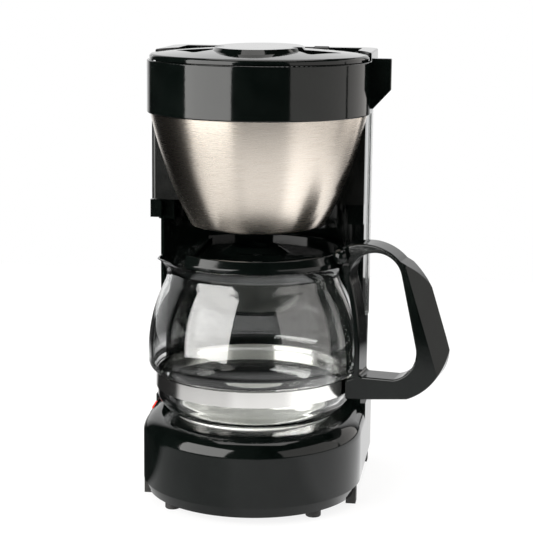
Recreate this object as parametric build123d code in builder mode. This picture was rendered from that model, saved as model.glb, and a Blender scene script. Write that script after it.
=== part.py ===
from build123d import *
import os
from math import cos, radians, sin, sqrt

os.makedirs("parts", exist_ok=True)

# Clearances
RUNNING_FIT = 0.05
ASSEMBLY_GAP = 0.15
MOVING_GAP = 0.4

# Base shell and the tray under it
BASE_RADIUS = 67.0
BODY_REAR = 90.0
REAR_ROUND = 12.0
FOOT_HEIGHT = 5.0
COVER_HEIGHT = 6.5
COVER_TAPER = 3.0
BASE_HEIGHT = 40.0
SHOULDER_ROUND = 11.0
WALL = 2.5
SEAM_STEP = 0.4
THROAT_MARGIN = 3.0
SLOT_COUNT = 5
SLOT_PITCH = 9.0
SLOT_LENGTH = 34.0
SLOT_WIDTH = 3.0

# Feet
FRONT_FOOT_RADIUS = 4.6
FRONT_FOOT_SPREAD = 42.5
FRONT_FOOT_FORWARD = 38.5
FOOT_ROUND = 0.8
POST_WIDTH = 6.0
POST_DEPTH = 8.0
POST_INSET = 4.5
SIDE_POST_FORWARD = 9.0
REAR_POST_BACK = 77.0

# Warming plate and its seal
CARAFE_BACK = 3.0
PLATE_RADIUS = 45.4
PLATE_THICK = 1.7
PLATE_PROUD = 0.8
PLATE_ROUND = 0.6
SEAL_WIDTH = 2.0
SEAL_FLANGE = 3.0
SEAL_FOOT = 1.6
LEDGE_DEPTH = 2.5
LEDGE_WIDTH = 5.0

# Heater under the plate
HEATER_OUTER = 38.0
HEATER_INNER = 26.0
HEATER_HORN = 3.0
NIPPLE_RADIUS = 4.0
NIPPLE_BORE = 2.5
NIPPLE_REACH = 18.0
NIPPLE_MARGIN = 1.0
CLAMP_WIDTH = 12.0
CLAMP_THICK = 2.0
CLAMP_SCREW_RADIUS = 2.0
CLAMP_HEAD_RADIUS = 4.0
CLAMP_HEAD_HEIGHT = 3.0
CLAMP_BOSS_RADIUS = 4.5
CLAMP_BOSS_LENGTH = 6.0
THERMOSTAT_RADIUS = 6.0
THERMOSTAT_HEIGHT = 8.0
TERMINAL_LENGTH = 5.0
TERMINAL_WIDTH = 4.0
TERMINAL_THICK = 1.0
FUSE_RADIUS = 2.2
FUSE_LENGTH = 14.0
FUSE_ANGLE = 215.0

# Hoses, check valve and riser
HOSE_WALL = 1.6
HOSE_SPREAD = 22.0
HOSE_BACK = 78.5
HOSE_BEND = 14.0
NIPPLE_LENGTH = 6.0
VALVE_BODY_RADIUS = 6.0
VALVE_BODY_HEIGHT = 22.0
VALVE_BODY_LIFT = 12.0
BALL_RADIUS = 2.5
BALL_LIFT = 3.0
VALVE_BORE = 1.5
RISER_RADIUS = 4.0
ARM_RADIUS = 4.5
ARM_BORE = 3.0
ARM_BEND = 7.0
ARM_GAP = 1.0
ARM_DROP = 4.0
NOTCH_MARGIN = 6.5
SHOWER_RADIUS = 14.0
SHOWER_HEIGHT = 4.0
SHOWER_WALL = 1.5

# Switch on the left shoulder and cord inlet at the rear
SWITCH_BACK = 20.0
SWITCH_TILT = 33.0
SWITCH_LENGTH = 14.0
SWITCH_WIDTH = 8.0
SWITCH_FRAME = 1.6
SWITCH_DEPTH = 9.0
SWITCH_PROUD = 0.5
ROCKER_RISE = 1.6
ROCKER_PROUD = 1.0
ROCKER_TAPER = 1.0
PIVOT_RADIUS = 0.6
PIVOT_DEPTH = 1.4
PIVOT_REACH = 1.0
GLAND_RIGHT = 34.0
GLAND_HEIGHT = 26.0
GLAND_RADIUS = 6.0
GLAND_BORE = 3.2
GLAND_FLANGE = 2.0
GLAND_NECK = 2.0

# Screws
SCREW_RADIUS = 1.5
SCREW_HEAD_RADIUS = 3.2
SCREW_HEAD_HEIGHT = 2.0
SCREW_LENGTH = 12.0
SCREW_END = 1.0
HEAD_CLEARANCE = 0.3
BOSS_RADIUS = 4.2
COVER_BOSS_RADIUS = 5.2
TOWER_BOSS_HEIGHT = 15.0
COVER_SCREW_SPREAD = 52.0
COVER_SCREW_FRONT = 24.0
COVER_SCREW_REAR = 62.0
TOWER_SCREW_BACK = 74.0

# Carafe, heights above the plate
GLASS_WALL = 2.4
CARAFE_FOOT_RADIUS = 43.0
CARAFE_WAIST_RADIUS = 58.9
CARAFE_BELLY_RADIUS = 64.4
CARAFE_CHEST_RADIUS = 54.2
CARAFE_NECK_RADIUS = 52.6
CARAFE_RIM_RADIUS = 55.6
CARAFE_HEEL = 11.0
CARAFE_BELLY_LOW = 34.0
CARAFE_BELLY_MID = 54.0
CARAFE_RIM = 94.7
CHEST_DROP = 13.7
NECK_DROP = 7.5
SPOUT_FOOT = 3.6
SPOUT_MOUTH = 20.4
SPOUT_WALL = 2.2
SPOUT_LENGTH = 20.0
SPOUT_LEAN = 34.0
SPOUT_REACH = 40.5
WAIST_RISE = 0.5
TUCK = 1.4
TUCK_RISE = 2.2
BELLY_FALL = 1.2
CHROME_LOW = 16.7
CHROME_HEIGHT = 9.3
CHROME_THICK = 0.9
EAR_REACH = 9.0
EAR_HALF = 1.0
EAR_MARGIN = 0.6

# Carafe lid and handle
HANDLE_TURN = -10.0
HANDLE_REACH = 121.5
HANDLE_WIDTH = 19.0
HANDLE_ROUND = 1.0
STRAP_GAP = 0.6
STRAP_THICK = 3.4
GRIP_FOOT = 13.7
CARAFE_LID_RISE = 7.0
LID_DISH_RADIUS = 50.2
LID_DISH_RISE = 3.4
BREW_HOLE = 8.0
LID_SKIRT_GAP = 0.6
LID_SKIRT_DEPTH = 6.0
LID_TOP_ROUND = 0.8
LID_FLANGE_ROUND = 1.6
POUR_CUT = 35.0
LID_ARM_DEPTH = 4.0
DOME_FOOT = 21.0
DOME_HEAD = 14.0
DOME_RISE = 8.0
BAR_WIDTH = 27.0
BAR_RIGHT = 6.0
BAR_DEPTH = 4.0
BAR_FORWARD = 27.0
BAR_RISE = 6.8
CARAFE_LID_WALL = 2.2
LID_HINGE_REACH = 57.0
LID_HINGE_RISE = 6.5
LID_PIN_RADIUS = 1.6
LID_EAR_RADIUS = 4.0
LID_EAR_WIDTH = 3.2
LID_BALL_RADIUS = 4.5
HINGE_BOSS_WIDTH = 11.0
HINGE_CUT_RISE = 6.0
HINGE_CUT_HEIGHT = 24.0

# Handle outline: distances in from its reach, heights from the carafe's rim or from the plate
CREST_IN = 48.0
CREST_RISE = 14.2
KINK_IN = 28.9
KINK_RISE = 5.1
SWELL_IN = 16.5
SWELL_DROP = 4.0
SHOULDER_IN = 9.1
SHOULDER_DROP = 14.8
CORNER_RISE = 47.4
CHEEK_IN = 6.3
CHEEK_RISE = 30.7
HEEL_IN = 23.2
HEEL_RISE = 17.3
HEAD_RISE = 3.8
NECK_RISE = 2.5
STRAP_LOW_RISE = 39.7
STRAP_LOW_OUT = 0.6
STRAP_MID_DROP = 31.6
STRAP_MID_OUT = -0.8
STRAP_HIGH_DROP = 10.8
STRAP_HIGH_OUT = -4.9
TUCK_LOW = 8.2
TUCK_HIGH = 6.4
ARCH_IN = 58.0
ARCH_RISE = 0.5
VAULT_IN = 50.0
VAULT_RISE = 8.0
CROWN_IN = 37.0
BEND_IN = 28.2
BEND_DROP = 2.4
SIDE_IN = 18.5
SIDE_RISE = 48.7
BOWL_IN = 20.9
BOWL_RISE = 36.2
FLOOR_IN = 31.5
FLOOR_RISE = 28.7
OPENING_ROUND = 2.5
OUTLINE_ROUND = 1.5
FACET_IN = 26.6
FACET_RISE = 5.4
FACET_RUN = 21.6
FACET_FALL = 67.2

# Tower
TOWER_INSET = 3.2
WING_FRONT = 24.0
BAY_WING_FRONT = 30.0
BAY_GAP = 3.1
TANK_FLOOR = 46.5
TANK_FLOOR_THICK = 3.0
TANK_FRONT = 44.0
WINDOW_WIDTH = 8.0
WINDOW_BACK = 66.0
WINDOW_FLANGE = 1.4
WINDOW_LIP = 1.0
WINDOW_HEIGHT = 150.0
WINDOW_RISE = 2.0

# Basket
BASKET_BACK = 14.0
HEAD_GAP = 19.0
CONE_HEIGHT = 68.5
CONE_LOW_RADIUS = 40.6
CONE_MID_RADIUS = 57.8
CONE_MID_RISE = 39.5
CONE_TOP_RADIUS = 65.6
CONE_LIP = 3.0
CONE_ROUND = 3.0
STEEL_THICK = 0.8
HOLDER_WALL = 2.0
CUP_TOP_RADIUS = 52.0
CUP_LOW_RADIUS = 38.0
FLOOR_THICK = 2.2
BAND_RADIUS = 67.5
BAND_THICK = 2.6
BAND_HEIGHT = 31.5
BAND_TAIL = 6.0
BAND_ROUND = 0.8
PANEL_HALF = 64.6
PANEL_RISE = 13.5
PANEL_THICK = 2.4
SKIRT_GAP = 0.6
INNER_WALL_HEIGHT = 17.0
TAB_REACH = 11.8
TAB_DEPTH = 5.4
TAB_RISE = 1.8
TAB_EDGE = 18.5
TAB_DROP = 30.0
TAB_TOE = 1.2
TAB_ROUND = 0.8
CUP_BAY_GAP = 3.0

# Basket hinge
PIN_RADIUS = 1.6
PIN_OFFSET = 64.0
PIN_BACK = 5.0
BARREL_RADIUS = 3.0
PIN_ENGAGE = 20.0
KNUCKLE_HEIGHT = 11.0
KNUCKLE_HALF = 3.4
KNUCKLE_ROOT = 1.0
PIN_INSET = 1.0

# Drip valve
STEM_RADIUS = 3.0
STEM_DROP = 4.5
PLUNGER_RADIUS = 6.5
PLUNGER_THICK = 2.0
GUIDE_RADIUS = 1.6
GUIDE_LENGTH = 5.0
GASKET_THICK = 1.0
CAGE_RADIUS = 9.5
CAGE_WALL = 1.5
CAGE_HEIGHT = 12.5
SPRING_RADIUS = 3.6
SPRING_WIRE = 0.8
FILTER_LIFT = 14.0
FILTER_RIM_RADIUS = 46.0
FILTER_LOW_RADIUS = 33.0
FILTER_HEIGHT = 50.0
FILTER_RIM_WIDTH = 3.0
FILTER_WALL = 1.4
FILTER_WINDOW_SHARE = 0.7
FILTER_WINDOW_ROUND = 4.0
MESH_THICK = 0.6
RIB_COUNT = 6
RIB_THICK = 2.0
RIB_REACH = 18.0

# Collar and lid
COLLAR_HALF = 66.4
COLLAR_FRONT = 27.0
COLLAR_HEIGHT = 8.5
COLLAR_WALL = 3.0
COLLAR_ROUND = 1.0
LID_RADIUS = 66.0
LID_EDGE = 3.0
LID_EDGE_ROUND = 2.0
LID_FLAP_HALF = 56.0
FLAP_SWING = 1.2
FLAP_THICK = 2.6
FILL_MARGIN = 2.0
LID_DOME = 6.6
LID_DOME_HALF = 5.7
LID_CROWN = 7.6
LID_WALL = 2.2
TONGUE_HALF = 30.0
TONGUE_REACH = 49.0
TONGUE_SLOPE = 4.0
HOLLOW_FLOOR = 2.2
HOLLOW_RIM = 4.2
HOLLOW_NEAR = 19.0
HOLLOW_FAR = 51.0
HOLLOW_TIP = 34.0
HOLLOW_FRONT = 33.0
HOLLOW_BACK = 3.5
HOLLOW_ROUND = 2.0
LID_AXIS_BACK = 83.5
LID_AXIS_RISE = 1.6
LUG_SPREAD = 30.0
LUG_WIDTH = 9.0
LUG_RADIUS = 3.2
LID_SHAFT_RADIUS = 1.5
LID_SHAFT_OVERHANG = 6.0

# Heights that follow from the stack
SEAM = FOOT_HEIGHT + COVER_HEIGHT
BASE_TOP = SEAM + BASE_HEIGHT
PLATE_TOP = BASE_TOP + PLATE_PROUD
PLATE_LOW = PLATE_TOP - PLATE_THICK
RIM = PLATE_TOP + CARAFE_RIM
BASKET_LOW = RIM + HEAD_GAP
BASKET_FLOOR = BASKET_LOW + STEEL_THICK + FLOOR_THICK
BAND_LOW = BASKET_LOW + CONE_HEIGHT
BAND_TOP = BAND_LOW + BAND_HEIGHT
LID_LOW = BAND_TOP + MOVING_GAP
COLLAR_LOW = LID_LOW - COLLAR_HEIGHT / 2
TANK_LOW = BASE_TOP + TANK_FLOOR
TANK_BASE = TANK_LOW + TANK_FLOOR_THICK
CUP_BAY_RADIUS = CUP_TOP_RADIUS + CUP_BAY_GAP
CARAFE_BAY_RADIUS = CARAFE_BELLY_RADIUS + BAY_GAP
TOWER_HALF = BASE_RADIUS - TOWER_INSET
TOWER_INNER = TOWER_HALF - WALL
HOSE_RADIUS = NIPPLE_RADIUS + RUNNING_FIT + HOSE_WALL
LEDGE_TOP = PLATE_LOW - SEAL_FOOT
LEDGE_LOW = LEDGE_TOP - LEDGE_DEPTH
HOSE_LEVEL = LEDGE_LOW - MOVING_GAP - HOSE_RADIUS
HEATER_LOW = HOSE_LEVEL - NIPPLE_RADIUS - NIPPLE_MARGIN
HEATER_DEPTH = PLATE_LOW - HEATER_LOW

# The drum axis, set so that the origin lies under the middle of the whole object
AXIS_X = (BASE_RADIUS - HANDLE_REACH * cos(radians(HANDLE_TURN))) / 2
AXIS_Y = (BASE_RADIUS - BODY_REAR) / 2


def level(height, back=0.0):
    """Horizontal plane at a height, centred on an axis that stands back from the drum axis."""
    return Plane(origin=(AXIS_X, AXIS_Y + back, height))


def upright(back=0.0):
    """Vertical plane through such an axis: its x runs to the right and its y runs up."""
    return Plane(origin=(AXIS_X, AXIS_Y + back, 0), x_dir=(1, 0, 0), z_dir=(0, -1, 0))


def spin(back=0.0, direction=1):
    """Upright axis to revolve about."""
    return Axis((AXIS_X, AXIS_Y + back, 0), (0, 0, direction))


def side_plane(right):
    """Vertical plane square to the width: its x runs to the rear and its y runs up."""
    return Plane(origin=(AXIS_X + right, AXIS_Y, 0), x_dir=(0, 1, 0), z_dir=(1, 0, 0))


GRIP_PLANE = Plane(
    origin=(AXIS_X, AXIS_Y + CARAFE_BACK, 0),
    x_dir=(cos(radians(HANDLE_TURN)), sin(radians(HANDLE_TURN)), 0),
    z_dir=(sin(radians(HANDLE_TURN)), -cos(radians(HANDLE_TURN)), 0),
)


def post(low, place, radius, height, mode=Mode.ADD, back=0.0):
    """Round upright post at a place on a level, in the current part."""
    with BuildSketch(level(low, back)) as spot:
        with Locations(place):
            Circle(radius)
    extrude(spot.sketch, amount=height, mode=mode)


def block(low, corner, far, height, mode=Mode.ADD):
    """Upright rectangular block between two corners of a level, in the current part."""
    with BuildSketch(level(low)) as spot:
        with Locations(((corner[0] + far[0]) / 2, (corner[1] + far[1]) / 2)):
            Rectangle(abs(far[0] - corner[0]), abs(far[1] - corner[1]))
    extrude(spot.sketch, amount=height, mode=mode)


def keep(part, name):
    """Names a finished piece and writes it."""
    part.label = name
    export_step(part, f"parts/{name}.step")


def base_outline(inset):
    """Sketch of the base seen from above: half round in front, round corners at the rear."""
    radius = BASE_RADIUS - inset
    rear = BODY_REAR - inset
    corner = REAR_ROUND - inset
    with BuildSketch() as outline:
        with BuildLine():
            ThreePointArc((-radius, 0), (0, -radius), (radius, 0))
            Line((radius, 0), (radius, rear - corner))
            RadiusArc((radius, rear - corner), (radius - corner, rear), -corner)
            Line((radius - corner, rear), (corner - radius, rear))
            RadiusArc((corner - radius, rear), (-radius, rear - corner), -corner)
            Line((-radius, rear - corner), (-radius, 0))
        make_face()
    return outline.sketch


def base_block(inset, low, high):
    """Solid of the base with its shoulder round the front, set in by a wall where it is the hollow."""
    radius = BASE_RADIUS - inset
    rear = BODY_REAR - inset
    with BuildPart() as solid:
        with BuildSketch(level(low)):
            with BuildLine():
                ThreePointArc((-radius, 0), (0, -radius), (radius, 0))
                Polyline((radius, 0), (radius, BAY_WING_FRONT), (-radius, BAY_WING_FRONT), (-radius, 0))
            make_face()
        extrude(amount=high - low)
        fillet(solid.edges().group_by(Axis.Z)[-1].sort_by(Axis.Y)[:-1], SHOULDER_ROUND - inset)
        with BuildSketch(level(low)):
            with Locations((0, (BAY_WING_FRONT + rear) / 2)):
                Rectangle(2 * radius, rear - BAY_WING_FRONT)
        extrude(amount=high - low)
        fillet(solid.edges().filter_by(Axis.Z).group_by(Axis.Y)[-1], REAR_ROUND - inset)
    return solid.part


# Switch frame: a plane that lies on the left shoulder
SWITCH_PLANE = Plane(
    origin=(
        AXIS_X - BASE_RADIUS + SHOULDER_ROUND - (SHOULDER_ROUND + SWITCH_PROUD) * cos(radians(SWITCH_TILT)),
        AXIS_Y + SWITCH_BACK,
        BASE_TOP - SHOULDER_ROUND + (SHOULDER_ROUND + SWITCH_PROUD) * sin(radians(SWITCH_TILT)),
    ),
    x_dir=(0, 1, 0),
    z_dir=(-cos(radians(SWITCH_TILT)), 0, sin(radians(SWITCH_TILT))),
)

# Base housing
base_outer = base_block(0, SEAM, BASE_TOP)
base_hollow = base_block(WALL, SEAM, BASE_TOP - WALL)
SEAL_OUTER = PLATE_RADIUS + ASSEMBLY_GAP + SEAL_WIDTH
COVER_SCREWS = [
    (side * COVER_SCREW_SPREAD, back)
    for side in (-1, 1)
    for back in (COVER_SCREW_FRONT, COVER_SCREW_REAR)
]
TOWER_SCREW_SPREAD = TOWER_INNER - BOSS_RADIUS / 2
TOWER_SCREWS = [(side * TOWER_SCREW_SPREAD, TOWER_SCREW_BACK) for side in (-1, 1)]
THROAT_HALF = HOSE_SPREAD + HOSE_RADIUS + THROAT_MARGIN
SCREW_HOLE = SCREW_RADIUS + RUNNING_FIT
with BuildPart() as base_housing:
    add(base_outer)
    add(base_hollow, mode=Mode.SUBTRACT)
    for place in COVER_SCREWS:
        post(SEAM, place, BOSS_RADIUS, BASE_HEIGHT - WALL)
    post(LEDGE_LOW, (0, CARAFE_BACK), SEAL_OUTER + LEDGE_WIDTH, BASE_TOP - LEDGE_LOW - WALL)
    post(LEDGE_LOW, (0, CARAFE_BACK), SEAL_OUTER - SEAL_FLANGE, BASE_TOP - LEDGE_LOW, Mode.SUBTRACT)
    post(LEDGE_TOP, (0, CARAFE_BACK), SEAL_OUTER + ASSEMBLY_GAP, BASE_TOP - LEDGE_TOP, Mode.SUBTRACT)
    for place in COVER_SCREWS:
        post(SEAM, place, SCREW_HOLE, SCREW_LENGTH + SCREW_END, Mode.SUBTRACT)
    for place in TOWER_SCREWS:
        post(BASE_TOP - WALL, place, SCREW_HOLE, WALL, Mode.SUBTRACT)
    block(
        BASE_TOP - WALL,
        (-THROAT_HALF, HOSE_BACK - HOSE_RADIUS - THROAT_MARGIN),
        (THROAT_HALF, HOSE_BACK + HOSE_RADIUS),
        WALL,
        Mode.SUBTRACT,
    )
    with BuildSketch(SWITCH_PLANE):
        Rectangle(SWITCH_LENGTH + 2 * ASSEMBLY_GAP, SWITCH_WIDTH + 2 * ASSEMBLY_GAP)
    extrude(amount=-SWITCH_DEPTH - SWITCH_PROUD, mode=Mode.SUBTRACT)
    with BuildSketch(upright(BODY_REAR)):
        with Locations((GLAND_RIGHT, GLAND_HEIGHT)):
            Circle(GLAND_RADIUS - GLAND_FLANGE + ASSEMBLY_GAP)
    extrude(amount=WALL, mode=Mode.SUBTRACT)
keep(base_housing.part, "base_housing")

# Places of the four upright posts, as opposite corners seen from above
POST_OUTER = BASE_RADIUS - POST_INSET + POST_WIDTH / 2
POST_CORNERS = [
    ((side * (POST_OUTER - POST_WIDTH), back - POST_DEPTH / 2), (side * POST_OUTER, back + POST_DEPTH / 2))
    for side in (-1, 1)
    for back in (-SIDE_POST_FORWARD, REAR_POST_BACK)
]

# Bottom cover: a tapered tray with vents, held by four screws from below
with BuildPart() as bottom_cover:
    with BuildSketch(level(FOOT_HEIGHT)):
        add(base_outline(COVER_TAPER))
    with BuildSketch(level(SEAM)):
        add(base_outline(SEAM_STEP))
    loft()
    with BuildSketch(level(FOOT_HEIGHT + WALL)):
        add(base_outline(COVER_TAPER + WALL))
    extrude(amount=COVER_HEIGHT - WALL, mode=Mode.SUBTRACT)
    for place in COVER_SCREWS:
        post(FOOT_HEIGHT, place, COVER_BOSS_RADIUS, COVER_HEIGHT)
    for place in COVER_SCREWS:
        post(FOOT_HEIGHT, place, SCREW_HEAD_RADIUS + HEAD_CLEARANCE, SCREW_HEAD_HEIGHT, Mode.SUBTRACT)
        post(FOOT_HEIGHT, place, SCREW_HOLE, COVER_HEIGHT, Mode.SUBTRACT)
    with BuildSketch(level(FOOT_HEIGHT, CARAFE_BACK)):
        with GridLocations(SLOT_LENGTH, SLOT_PITCH, 1, SLOT_COUNT):
            SlotOverall(SLOT_LENGTH, SLOT_WIDTH)
    extrude(amount=WALL, mode=Mode.SUBTRACT)
    for near, far in POST_CORNERS:
        block(FOOT_HEIGHT, near, far, COVER_HEIGHT, Mode.SUBTRACT)
keep(bottom_cover.part, "bottom_cover")

with BuildPart() as cover_screws:
    for place in COVER_SCREWS:
        post(FOOT_HEIGHT, place, SCREW_HEAD_RADIUS, SCREW_HEAD_HEIGHT)
        post(FOOT_HEIGHT, place, SCREW_RADIUS, COVER_HEIGHT + SCREW_LENGTH)
keep(cover_screws.part, "cover_screws")

# Feet
with BuildPart() as front_feet:
    for side in (-1, 1):
        post(0, (side * FRONT_FOOT_SPREAD, -FRONT_FOOT_FORWARD), FRONT_FOOT_RADIUS, FOOT_HEIGHT)
    fillet(front_feet.edges().group_by(Axis.Z)[0], FOOT_ROUND)
keep(front_feet.part, "front_feet")

with BuildPart() as post_feet:
    for near, far in POST_CORNERS:
        block(0, near, far, SEAM)
keep(post_feet.part, "post_feet")

# Warming plate with the boss that takes the clamp screw
with BuildPart() as warming_plate:
    post(PLATE_LOW, (0, CARAFE_BACK), PLATE_RADIUS, PLATE_THICK)
    fillet(warming_plate.edges().group_by(Axis.Z)[-1], PLATE_ROUND)
    post(PLATE_LOW - CLAMP_BOSS_LENGTH, (0, CARAFE_BACK), CLAMP_BOSS_RADIUS, CLAMP_BOSS_LENGTH)
    post(
        PLATE_LOW - CLAMP_BOSS_LENGTH,
        (0, CARAFE_BACK),
        CLAMP_SCREW_RADIUS + RUNNING_FIT,
        CLAMP_BOSS_LENGTH,
        Mode.SUBTRACT,
    )
keep(warming_plate.part, "warming_plate")

with BuildPart() as plate_seal:
    post(LEDGE_TOP, (0, CARAFE_BACK), SEAL_OUTER, BASE_TOP - LEDGE_TOP)
    post(LEDGE_TOP, (0, CARAFE_BACK), SEAL_OUTER - SEAL_FLANGE, SEAL_FOOT, Mode.SUBTRACT)
    post(PLATE_LOW, (0, CARAFE_BACK), PLATE_RADIUS + ASSEMBLY_GAP, BASE_TOP - PLATE_LOW, Mode.SUBTRACT)
keep(plate_seal.part, "plate_seal")

# Heating element: a horseshoe against the plate, with a water nipple at each end
HEATER_MID = (HEATER_OUTER + HEATER_INNER) / 2
NIPPLE_START = sqrt(HEATER_MID**2 - HOSE_SPREAD**2)
GAP_HALF = HOSE_SPREAD - NIPPLE_RADIUS - HEATER_HORN
with BuildPart() as heating_element:
    with BuildSketch(level(HEATER_LOW, CARAFE_BACK)):
        Circle(HEATER_OUTER)
        Circle(HEATER_INNER, mode=Mode.SUBTRACT)
        with Locations((0, HEATER_OUTER / 2)):
            Rectangle(2 * GAP_HALF, HEATER_OUTER, mode=Mode.SUBTRACT)
    extrude(amount=HEATER_DEPTH)
    with BuildSketch(upright(CARAFE_BACK + NIPPLE_START)):
        with Locations((-HOSE_SPREAD, HOSE_LEVEL), (HOSE_SPREAD, HOSE_LEVEL)):
            Circle(NIPPLE_RADIUS)
    extrude(amount=-NIPPLE_REACH)
    with BuildSketch(upright(CARAFE_BACK + NIPPLE_START)):
        with Locations((-HOSE_SPREAD, HOSE_LEVEL), (HOSE_SPREAD, HOSE_LEVEL)):
            Circle(NIPPLE_BORE)
    extrude(amount=-NIPPLE_REACH, mode=Mode.SUBTRACT)
keep(heating_element.part, "heating_element")

with BuildPart() as heater_clamp:
    with BuildSketch(level(HEATER_LOW - CLAMP_THICK, CARAFE_BACK)):
        SlotOverall(2 * HEATER_OUTER, CLAMP_WIDTH)
        Circle(CLAMP_SCREW_RADIUS + ASSEMBLY_GAP, mode=Mode.SUBTRACT)
    extrude(amount=CLAMP_THICK)
keep(heater_clamp.part, "heater_clamp")

CLAMP_LOW = HEATER_LOW - CLAMP_THICK
with BuildPart() as clamp_screw:
    post(CLAMP_LOW - CLAMP_HEAD_HEIGHT, (0, CARAFE_BACK), CLAMP_HEAD_RADIUS, CLAMP_HEAD_HEIGHT)
    post(CLAMP_LOW, (0, CARAFE_BACK), CLAMP_SCREW_RADIUS, PLATE_LOW - CLAMP_LOW)
keep(clamp_screw.part, "clamp_screw")

THERMOSTAT_LOW = HEATER_LOW - THERMOSTAT_HEIGHT
with BuildPart() as thermostat:
    post(THERMOSTAT_LOW, (0, CARAFE_BACK - HEATER_MID), THERMOSTAT_RADIUS, THERMOSTAT_HEIGHT)
    with BuildSketch(level(THERMOSTAT_LOW, CARAFE_BACK - HEATER_MID)):
        with Locations((-THERMOSTAT_RADIUS, 0), (THERMOSTAT_RADIUS, 0)):
            Rectangle(TERMINAL_LENGTH, TERMINAL_WIDTH)
    extrude(amount=TERMINAL_THICK)
keep(thermostat.part, "thermostat")

with BuildPart() as thermal_fuse:
    fuse_spot = Plane(
        origin=(
            AXIS_X + HEATER_MID * cos(radians(FUSE_ANGLE)) - FUSE_LENGTH / 2,
            AXIS_Y + CARAFE_BACK + HEATER_MID * sin(radians(FUSE_ANGLE)),
            HEATER_LOW - FUSE_RADIUS,
        ),
        x_dir=(0, 1, 0),
        z_dir=(1, 0, 0),
    )
    with BuildSketch(fuse_spot):
        Circle(FUSE_RADIUS)
    extrude(amount=FUSE_LENGTH)
keep(thermal_fuse.part, "thermal_fuse")


def hose(points, bend):
    """Hose along straight runs joined by round bends, open from end to end."""
    start = Vector(*points[0])
    run = (Vector(*points[1]) - start).normalized()
    with BuildPart() as tube:
        with BuildLine() as route:
            if len(points) > 2:
                FilletPolyline(*points, radius=bend)
            else:
                Line(*points)
        with BuildSketch(Plane(origin=start, z_dir=run)):
            Circle(HOSE_RADIUS)
            Circle(HOSE_RADIUS - HOSE_WALL, mode=Mode.SUBTRACT)
        sweep(path=route.line)
    return tube.part


# Hoses from the tank to the heater and from the heater to the riser
VALVE_LOW = BASE_TOP + VALVE_BODY_LIFT
VALVE_TOP = VALVE_LOW + VALVE_BODY_HEIGHT
VALVE_SPAN = VALVE_BODY_HEIGHT + 2 * NIPPLE_LENGTH
HOSE_FRONT = AXIS_Y + CARAFE_BACK + NIPPLE_START + NIPPLE_REACH - NIPPLE_LENGTH
HOSE_LINE = AXIS_Y + HOSE_BACK
keep(
    hose(
        [
            (AXIS_X + HOSE_SPREAD, HOSE_FRONT, HOSE_LEVEL),
            (AXIS_X + HOSE_SPREAD, HOSE_LINE, HOSE_LEVEL),
            (AXIS_X + HOSE_SPREAD, HOSE_LINE, VALVE_LOW),
        ],
        HOSE_BEND,
    ),
    "cold_hose_lower",
)
keep(
    hose(
        [(AXIS_X + HOSE_SPREAD, HOSE_LINE, VALVE_TOP), (AXIS_X + HOSE_SPREAD, HOSE_LINE, TANK_LOW)],
        HOSE_BEND,
    ),
    "cold_hose_upper",
)
keep(
    hose(
        [
            (AXIS_X - HOSE_SPREAD, HOSE_FRONT, HOSE_LEVEL),
            (AXIS_X - HOSE_SPREAD, HOSE_LINE, HOSE_LEVEL),
            (AXIS_X - HOSE_SPREAD, HOSE_LINE, TANK_LOW),
        ],
        HOSE_BEND,
    ),
    "hot_hose",
)

# Check valve: a body with a nipple at each end and a ball that can lift inside it
COLD_PLACE = (HOSE_SPREAD, HOSE_BACK)
HOT_PLACE = (-HOSE_SPREAD, HOSE_BACK)
BALL_ROOM = BALL_RADIUS + MOVING_GAP
BALL_FLOOR = VALVE_LOW + (VALVE_BODY_HEIGHT - BALL_LIFT) / 2 - BALL_RADIUS
BALL_CHAMBER = 2 * BALL_RADIUS + BALL_LIFT + MOVING_GAP
with BuildPart() as check_valve:
    post(VALVE_LOW, COLD_PLACE, VALVE_BODY_RADIUS, VALVE_BODY_HEIGHT)
    post(VALVE_LOW - NIPPLE_LENGTH, COLD_PLACE, NIPPLE_RADIUS, VALVE_SPAN)
    post(VALVE_LOW - NIPPLE_LENGTH, COLD_PLACE, VALVE_BORE, VALVE_SPAN, Mode.SUBTRACT)
    post(BALL_FLOOR, COLD_PLACE, BALL_ROOM, BALL_CHAMBER, Mode.SUBTRACT)
keep(check_valve.part, "check_valve")

with BuildPart() as check_ball:
    with Locations((AXIS_X + HOSE_SPREAD, HOSE_LINE, BALL_FLOOR + BALL_RADIUS)):
        Sphere(BALL_RADIUS)
keep(check_ball.part, "check_ball")


def tank_plan(bay_radius, bay_back, bottom, height):
    """Room left between the outer walls and the wall of a round bay."""
    rear = BODY_REAR - WALL
    with BuildPart() as room:
        with BuildSketch(level(bottom)):
            with Locations((0, (TANK_FRONT + rear) / 2)):
                Rectangle(2 * TOWER_INNER, rear - TANK_FRONT)
            with Locations((0, bay_back)):
                Circle(bay_radius + WALL, mode=Mode.SUBTRACT)
        extrude(amount=height)
        fillet(room.edges().filter_by(Axis.Z).group_by(Axis.Y)[-1], REAR_ROUND - WALL)
    return room.part


# Tower: column and tank in one shell, hollowed round the carafe and round the basket
COLUMN_ROOM = tank_plan(CARAFE_BAY_RADIUS, CARAFE_BACK, BASE_TOP, TANK_FLOOR)
LOWER_TANK = tank_plan(CARAFE_BAY_RADIUS, CARAFE_BACK, TANK_BASE, BASKET_LOW + WALL - TANK_BASE)
UPPER_TANK = tank_plan(CUP_BAY_RADIUS, BASKET_BACK, BASKET_LOW + WALL, COLLAR_LOW - BASKET_LOW - WALL)
PIN_Y = BASKET_BACK + PIN_BACK
KNUCKLE_TOP = BASKET_LOW + PANEL_RISE - MOVING_GAP
UPPER_KNUCKLE_LOW = BAND_LOW + INNER_WALL_HEIGHT + MOVING_GAP
UPPER_KNUCKLE_HEIGHT = COLLAR_LOW - UPPER_KNUCKLE_LOW
KNUCKLE_FRONT = PIN_Y - KNUCKLE_HALF
ARM_LEVEL = COLLAR_LOW - ARM_RADIUS - ARM_GAP
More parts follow.
